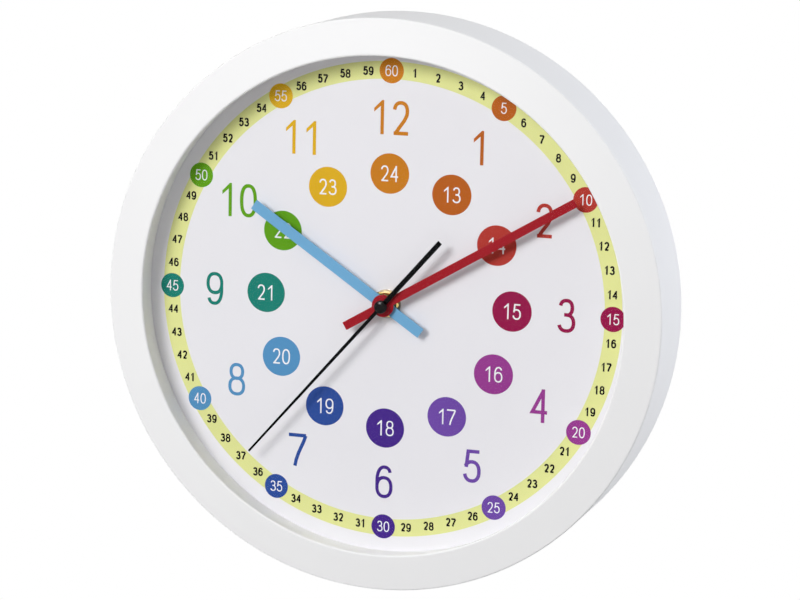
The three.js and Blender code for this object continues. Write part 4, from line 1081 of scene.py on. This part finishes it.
def hexagon_nut(flats_half, bore, front, back, chamfer=0.35, steps=192):
    """A nut as a grid: its outer radius at an angle is flats_half / cos(angle from the nearest flat's
    middle), and its faces fall away at 30 degrees outside a circle just inside the flats."""
    angle = np.arange(steps) * (2 * np.pi / steps)
    from_flat = (angle + np.pi / 6) % (np.pi / 3) - np.pi / 6
    outer = flats_half / np.cos(from_flat)
    face_radius = flats_half - 0.2
    fall = (outer - face_radius) * math.tan(math.radians(30))
    # The last two rows soften the edge between the cone and the sides.
    half_profile = [(bore, chamfer), (bore + chamfer, 0), (face_radius, 0),
                    (outer - 0.03, fall - 0.02), (outer, fall + 0.06)]
    radius, inward = (np.stack([row[i] * np.ones(steps) for row in half_profile]) for i in range(2))
    return swept(np.concatenate([radius, radius[::-1]]),
                 np.concatenate([front + inward, (back - inward)[::-1]]))


(stem_front, stem_back), (nut_front, nut_back), (washer_front, washer_back) = (
    [corner[1] for corner in box_mm(node)] for node in ("threaded_stem", "stem_nut", "stem_washer"))
stem_bore, stem_root, stem_crest, stem_pitch = 2.8, 3.62, 4.0, 0.75
stem_flange = turned_ring(stem_bore, 5.4, stem_back - 0.6, stem_back, 0.1, 96)
stem_thread = threaded(stem_bore, stem_root, stem_crest, stem_pitch, stem_front, stem_back - 0.5)
piece("brass_stem", together(stem_thread, stem_flange), brass, "case", ["threaded_stem"])
piece("brass_nut", hexagon_nut(6.3, 4.1, nut_front, nut_back), brass, "case", ["stem_nut"],
      smooth=20)
# The washer's darker colour is painted shade. It stands in for the shadow that lies round the foot of the
# hub.
piece("washer_painted_shade", turned_ring(4.1, 7.6, washer_front, washer_back, 0.12, 128),
      turned_steel_painted_shade, "case", ["stem_washer"])

# %% [markdown]
# ## The back cover
#
# A second moulding closes the case from behind: a flat flange held by six screws, a deep dish for
# the movement, a ring that presses the dial's board forward, gussets on the dish's slope and a
# thicker pad with the keyhole. The photograph doesn't show the back, so this follows what such
# clocks have. Each form is a closed shape that goes a little way into the next, because that
# keeps every one of them simple to work out.

# %% Keyhole and gussets
cover_radius, dish_top, dish_floor = 147.2, 90.0, 74.0
floor_front, floor_back = 2.6, 4.6
seat_height, entry_height = 121.0, 110.0
entry_radius, slot_radius, pad_radius, pad_back = 4.6, 2.3, 8.6, 25.8
slot_top = seat_height - slot_radius
gusset_count = 8


def keyhole(entry, slot):
    """A round entry with a slot above it, anticlockwise. They meet where the entry is as wide as
    the slot, at arccos(slot / entry)."""
    side = math.degrees(math.acos(slot / entry))
    lower = arc(entry, 180 - side, 360 + side, entry_height, 48)
    return np.concatenate([arc(slot, 0, 180, slot_top), lower])


def gusset(angle, thickness=1.6, height=14.0, foot=73.0, reach=22.0):
    """A three-cornered plate in the plane of the hands' line and a direction across it.

    It is made flat and turned by the angle a about the line, as clockwise does the other way round:
    (radius cos a - across sin a, radius sin a + across cos a)."""
    slope = (dish_top - dish_floor) / (flange_front - floor_front)
    corners = [[foot - reach, floor_back - 0.1], [foot, floor_back - 0.1],
               [foot + height * slope, floor_back + height]]
    points, faces = plate([rounded(corners, [0.3, 0, 0.8])], -thickness / 2, thickness / 2, 0.25)
    radius, across, depth = points.T
    return np.stack([radius * math.cos(angle) - across * math.sin(angle), depth,
                     radius * math.sin(angle) + across * math.cos(angle)], 1), faces


gussets = [gusset(2 * math.pi * (i + 0.5) / gusset_count) for i in range(gusset_count)]
print("points of the keyhole's outline:", len(keyhole(entry_radius, slot_radius)))

# %% [markdown]
# The flange and the pad are plates, because they have holes. The dish and the press ring are
# turned. The keyhole goes through both plates, and it is a little wider in the flange, so that the
# thicker pad alone carries the nail.

# %% Back cover
flange_plate = plate([
    circle(cover_radius, 256), circle(dish_top - 0.4, 192, clockwise=True),
    *(circle(screw_radius + 0.5, 32, place, clockwise=True) for place in screw_places),
    keyhole(entry_radius + 0.15, slot_radius + 0.15)[::-1]], flange_front, flange_back, 0.3)
dish = turned_solid([
    [stem_hole, floor_front], [dish_floor, floor_front], [dish_top, flange_front],
    [dish_top + 1.5, flange_front + 0.3], [dish_top + 1.5, flange_back - 0.02],
    [dish_top - 2, flange_back - 0.02], [dish_floor - 2, floor_back], [stem_hole, floor_back],
], [0.2, 2.6, 0, 0, 0, 1.2, 1.0, 0.3], 256)
press_ring = turned_ring(well_outer_radius - 2, well_outer_radius, floor_front, flange_front + 0.3, 0.3)
pad_outline = np.concatenate([arc(pad_radius, 0, 180, slot_top), arc(pad_radius, 180, 360, entry_height)])
pad = plate([pad_outline, keyhole(entry_radius, slot_radius)[::-1]], flange_front + 0.15, pad_back, 0.35)
piece("rear_cover", together(flange_plate, dish, press_ring, pad, *gussets),
      cover_white, "case", ["back_cover"])

# %% [markdown]
# ## Screws
#
# Each cover screw is a pan head with a cross recess on a threaded shank. The head is a height over
# the plane: a shallow dome, less the cross. The cross is where the smaller of |x| and |z| is
# under half its arm's width.

# %% Cover screws
head_radius, head_front, head_back = 2.8, flange_back + 0.1, flange_back + 1.9
screw_end, screw_pitch, thread_depth = flange_back - 9.9, 0.9, 0.3
dome_fall, arm_half, arm_reach = 0.55, 0.46, 1.75
recess, recess_rise, side_fade, end_fade = 1.15, 0.35, 0.16, 0.3
first_twist, twist_step = 0.5, 1.1      # radians, since no two screws stop at the same angle


def pan_head(radius, front, back, place, twist, steps=96, rows=24):
    """A round head as a grid of height over radius and angle.

    Its height falls from the middle by dome_fall * (r / radius)^2. In the cross it drops by
    recess - recess_rise * r', where r' is the distance along an arm, and the drop fades out over
    side_fade at the arms' sides and over end_fade at their ends."""
    angle = np.arange(steps) * (2 * np.pi / steps)
    share = np.linspace(0, 1, rows)[:, None]
    r = radius * share
    x, z = np.abs(r * np.sin(angle + twist)), np.abs(r * np.cos(angle + twist))
    narrow, far = np.minimum(x, z), np.maximum(x, z)
    cross = np.clip((arm_half - narrow) / side_fade, 0, 1) * np.clip((arm_reach - far) / end_fade, 0, 1)
    height = back - dome_fall * share ** 2 - cross * (recess - recess_rise * far)
    flat = np.ones((1, steps))
    radii = np.concatenate([r * np.ones(steps), radius * flat, 0 * flat])
    return swept(radii, np.concatenate([height, front * flat, front * flat]), place)


for i, place in enumerate(screw_places):
    shank = threaded(thread_depth, screw_radius - thread_depth, screw_radius, screw_pitch, screw_end,
                     head_front + 0.2, 32, place=place)
    head = pan_head(head_radius, head_front, head_back, place, first_twist + twist_step * i)
    piece(f"cross_screw_{i + 1}", together(shank, head), steel, "case", [f"cover_screw_{i + 1}"])

# %% [markdown]
# ## The movement's housing
#
# The movement is a square black box with round corners. Its side wall, rear wall, bay floor and
# divider are plates, and short posts inside carry the bearing plate, the circuit board and the
# stator. The rear wall is open over the battery, and the setting knob's arbor comes through it.

# %% Walls and posts of the housing
housing_half, housing_corner, housing_wall = 28.0, 3.5, 1.2
housing_front, housing_inside, housing_back = 7.1, 21.0, 22.2
bay_low, bay_high, divider_high, bay_level = -26.8, -11.7, -10.6, 8.1
knob_place = tuple(np.array(box_mm("setting_knob")).mean(0)[[0, 2]])


def rectangle(x, z, corner=0.0):
    """A rectangle between two values of x and two of z, anticlockwise."""
    return rounded([[x[0], z[0]], [x[1], z[0]], [x[1], z[1]], [x[0], z[1]]], corner, 8)


def square(half, corner):
    """A square round the hands' line, half as wide on each side of it."""
    return rectangle((-half, half), (-half, half), corner)


def post(radius, front, place, bore=0.0):
    """A round post from a depth to the rear wall, hollow if it has a bore."""
    return turned_ring(bore, radius, front, housing_inside + 0.2, 0.12, 32, place)


inner_half = housing_half - housing_wall
inner_square = square(inner_half, housing_corner - housing_wall)
side_walls = plate([square(housing_half, housing_corner), inner_square[::-1]],
                   housing_front, housing_inside)
rear_wall = plate([square(housing_half, housing_corner),
                   rectangle((-inner_half, inner_half), (bay_low, bay_high), 0.6)[::-1],
                   circle(0.95, 24, knob_place, clockwise=True)], housing_inside, housing_back, 0.25)
divider = plate([rectangle((-26, 26), (bay_high, divider_high))],
                housing_front + 0.1, housing_inside + 0.05, 0.1)
bay_floor = plate([rectangle((-inner_half - 0.1, inner_half + 0.1), (bay_low - 0.1, bay_high + 0.1))],
                  housing_front + 0.05, bay_level, 0.1)
# Three hollow posts hold the ends of the arbors: the seconds wheel's, the intermediate wheel's and
# the rotor's. The others stand in pairs, given by radius, front, how far to each side, and height:
# two pairs for the bearing plate, one for the circuit board and one for the stator.
arbor_places = [(0, 0), (0, 7.2), (-6.19, 10.77)]
paired_posts = [(1.3, 14.05, 17, -7), (1.3, 14.05, 17, 14.97),
                (1.3, 12.3, 20, 20.97), (1.1, 18.7, 12, 16.47)]
housing_posts = [post(1.55, 19.6, place, 0.65) for place in arbor_places]
housing_posts += [post(radius, front, (side * x, z))
                  for side in (-1, 1) for radius, front, x, z in paired_posts]
print("posts in the housing:", len(housing_posts))

# %% [markdown]
# A plus, a minus and a turning arrow stand a quarter of a millimetre proud of the rear wall, as on
# most of them. They are thin plates. The plus is one quarter of its outline, turned four times, and
# the arrow is two arcs round the knob with a head between them.

# %% Raised marks and the whole housing
mark_front, mark_back, arm, half_stroke = housing_back - 0.1, housing_back + 0.25, 1.8, 0.35
plus_place = (21.6, -7.55)
minus = plate([rectangle((-23.4, -19.8), (-7.9, -7.2), 0.2)], mark_front, mark_back, 0.12)
plus_quarter = np.array([[arm, half_stroke], [half_stroke, half_stroke], [half_stroke, arm]])
plus_loop = np.concatenate([clockwise(plus_quarter, -quarter * math.pi / 2) for quarter in range(4)])
plus = plate([rounded(plus_loop + plus_place, 0.12)], mark_front, mark_back, 0.12)
arrow_head = [[-4.6, 9.2], [-6.6, 5.9], [-2.9, 6.4]]
arrow_loop = np.concatenate([arc(9.0, 28, 118), arrow_head, arc(8.3, 114, 28)[1:]])
arrow = plate([arrow_loop + knob_place], mark_front, mark_back, 0.1)
piece("movement_housing",
      together(side_walls, rear_wall, divider, bay_floor, *housing_posts, minus, plus, arrow),
      movement_black, "case", ["movement_shell"])

# %% [markdown]
# ## The setting knob
#
# The knob on the minute wheel's arbor sets the hands. Its edge is a wave that a fingertip grips,
# and its face has a raised ring.

# %% Setting knob
knob_front, knob_back = (corner[1] for corner in box_mm("setting_knob"))
knob_radius, knob_bore, rim_front = 6.4, 0.9, knob_front + 0.5
grip_waves, grip_depth, grip_steps = 20, 0.25, 320
grip_angle = np.arange(grip_steps) * (2 * np.pi / grip_steps)
grip_radius = knob_radius - grip_depth * (1 - np.cos(grip_waves * grip_angle))
grip_loop = np.stack([grip_radius * np.cos(grip_angle), grip_radius * np.sin(grip_angle)], 1) + knob_place
knob_rim = plate([grip_loop, circle(knob_bore, 24, knob_place, clockwise=True)],
                 rim_front, knob_back, 0.18)
knob_hub = turned_ring(knob_bore, 3.2, knob_front, rim_front + 0.3, 0.15, 64, knob_place)
raised_ring = turned_ring(3.6, 4.3, knob_back - 0.1, knob_back + 0.25, 0.15, 96, knob_place)
piece("gripped_knob", together(knob_rim, knob_hub, raised_ring),
      movement_black, "setting_train", ["setting_knob"])

# %% [markdown]
# ## The battery
#
# One AA cell lies in the bay: a steel can in a printed sleeve. The sleeve is left without words:
# a dark body, a light line and a bright end towards the plus. The can shows at both ends.

# %% Battery
(flat_end, cell_front, cell_low), (nub_end, cell_back, cell_high) = box_mm("battery")
cell_line = (cell_front + cell_back) / 2, (cell_low + cell_high) / 2
can_end = nub_end - 1.5
sleeve_start, sleeve_end = flat_end + 0.05, can_end - 0.05
sleeve_radius, curl_inner, band_bore = 7.15, 6.0, 6.8
sleeve_bands = [(sleeve_start, 9.0, linear(38, 52, 70)), (9.0, 10.2, linear(226, 226, 222)),
                (10.2, sleeve_end, linear(190, 126, 66))]


def sleeve_band(left, right):
    """A ring of the sleeve between two places on the cell. At the sleeve's own ends it is shrunk
    round the can's edge: it reaches further in and is rounder there."""
    curled = [end in (sleeve_start, sleeve_end) for end in (left, right)]
    bore = [curl_inner if curl else band_bore for curl in curled]
    inner_edge, outer_edge = ([size * curl for curl in curled] for size in (0.2, 0.7))
    outer_edge = [max(size, 0.02) for size in outer_edge]
    corners = [[bore[0], left], [sleeve_radius, left], [sleeve_radius, right], [bore[1], right]]
    return turned_solid(corners, [inner_edge[0], *outer_edge, inner_edge[1]], 96, cell_line, "x")


bands = [sleeve_band(left, right) for left, right, _ in sleeve_bands]
band_colours = [np.repeat([colour], len(band[0]), 0) for band, (_, _, colour) in zip(bands, sleeve_bands)]
piece("battery_label", together(*bands), sleeve_print, "case", ["battery"],
      colours=np.concatenate(band_colours))
piece("battery_can", turned_solid([
    [0, flat_end], [5.4, flat_end], [5.4, flat_end + 0.25], [6.7, flat_end + 0.25], [6.7, can_end - 0.3],
    [2.7, can_end - 0.3], [2.7, nub_end], [0, nub_end],
], [0, 0.2, 0.1, 0.3, 0.3, 0.3, 0.3, 0], 96, cell_line, "x"), steel, "case")

# %% [markdown]
# ## The nodes that keep their own shape
#
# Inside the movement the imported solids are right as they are. They are given their finishes by
# name, and smooth shading is left as the frame made it.

# %% Finishes for the carried-over nodes
kept_nodes = [
    (hardboard, ["dial_plate"]),
    (black_rubber, ["rubber_gasket"]),
    (movement_black, ["movement_lid"]),
    (natural_plastic, ["bearing_plate", "coil_bobbin", "intermediate_wheel", "seconds_wheel",
                       "third_wheel", "centre_wheel", "minute_tube", "minute_wheel", "hour_wheel"]),
    (magnet, ["rotor"]),
    (steel, ["stator", "coil_core", "quartz_crystal", "positive_contact", "negative_contact"]),
    (copper_wire, ["coil_winding"]),
    (board_green, ["circuit_board"]),
    (chip_resin, ["driver_chip"]),
]
for material, names in kept_nodes:
    for node in names:
        mesh = frame["nodes"][node].data
        mesh.materials.clear()
        mesh.materials.append(material)
print("finished nodes:", sum(len(names) for _, names in kept_nodes))
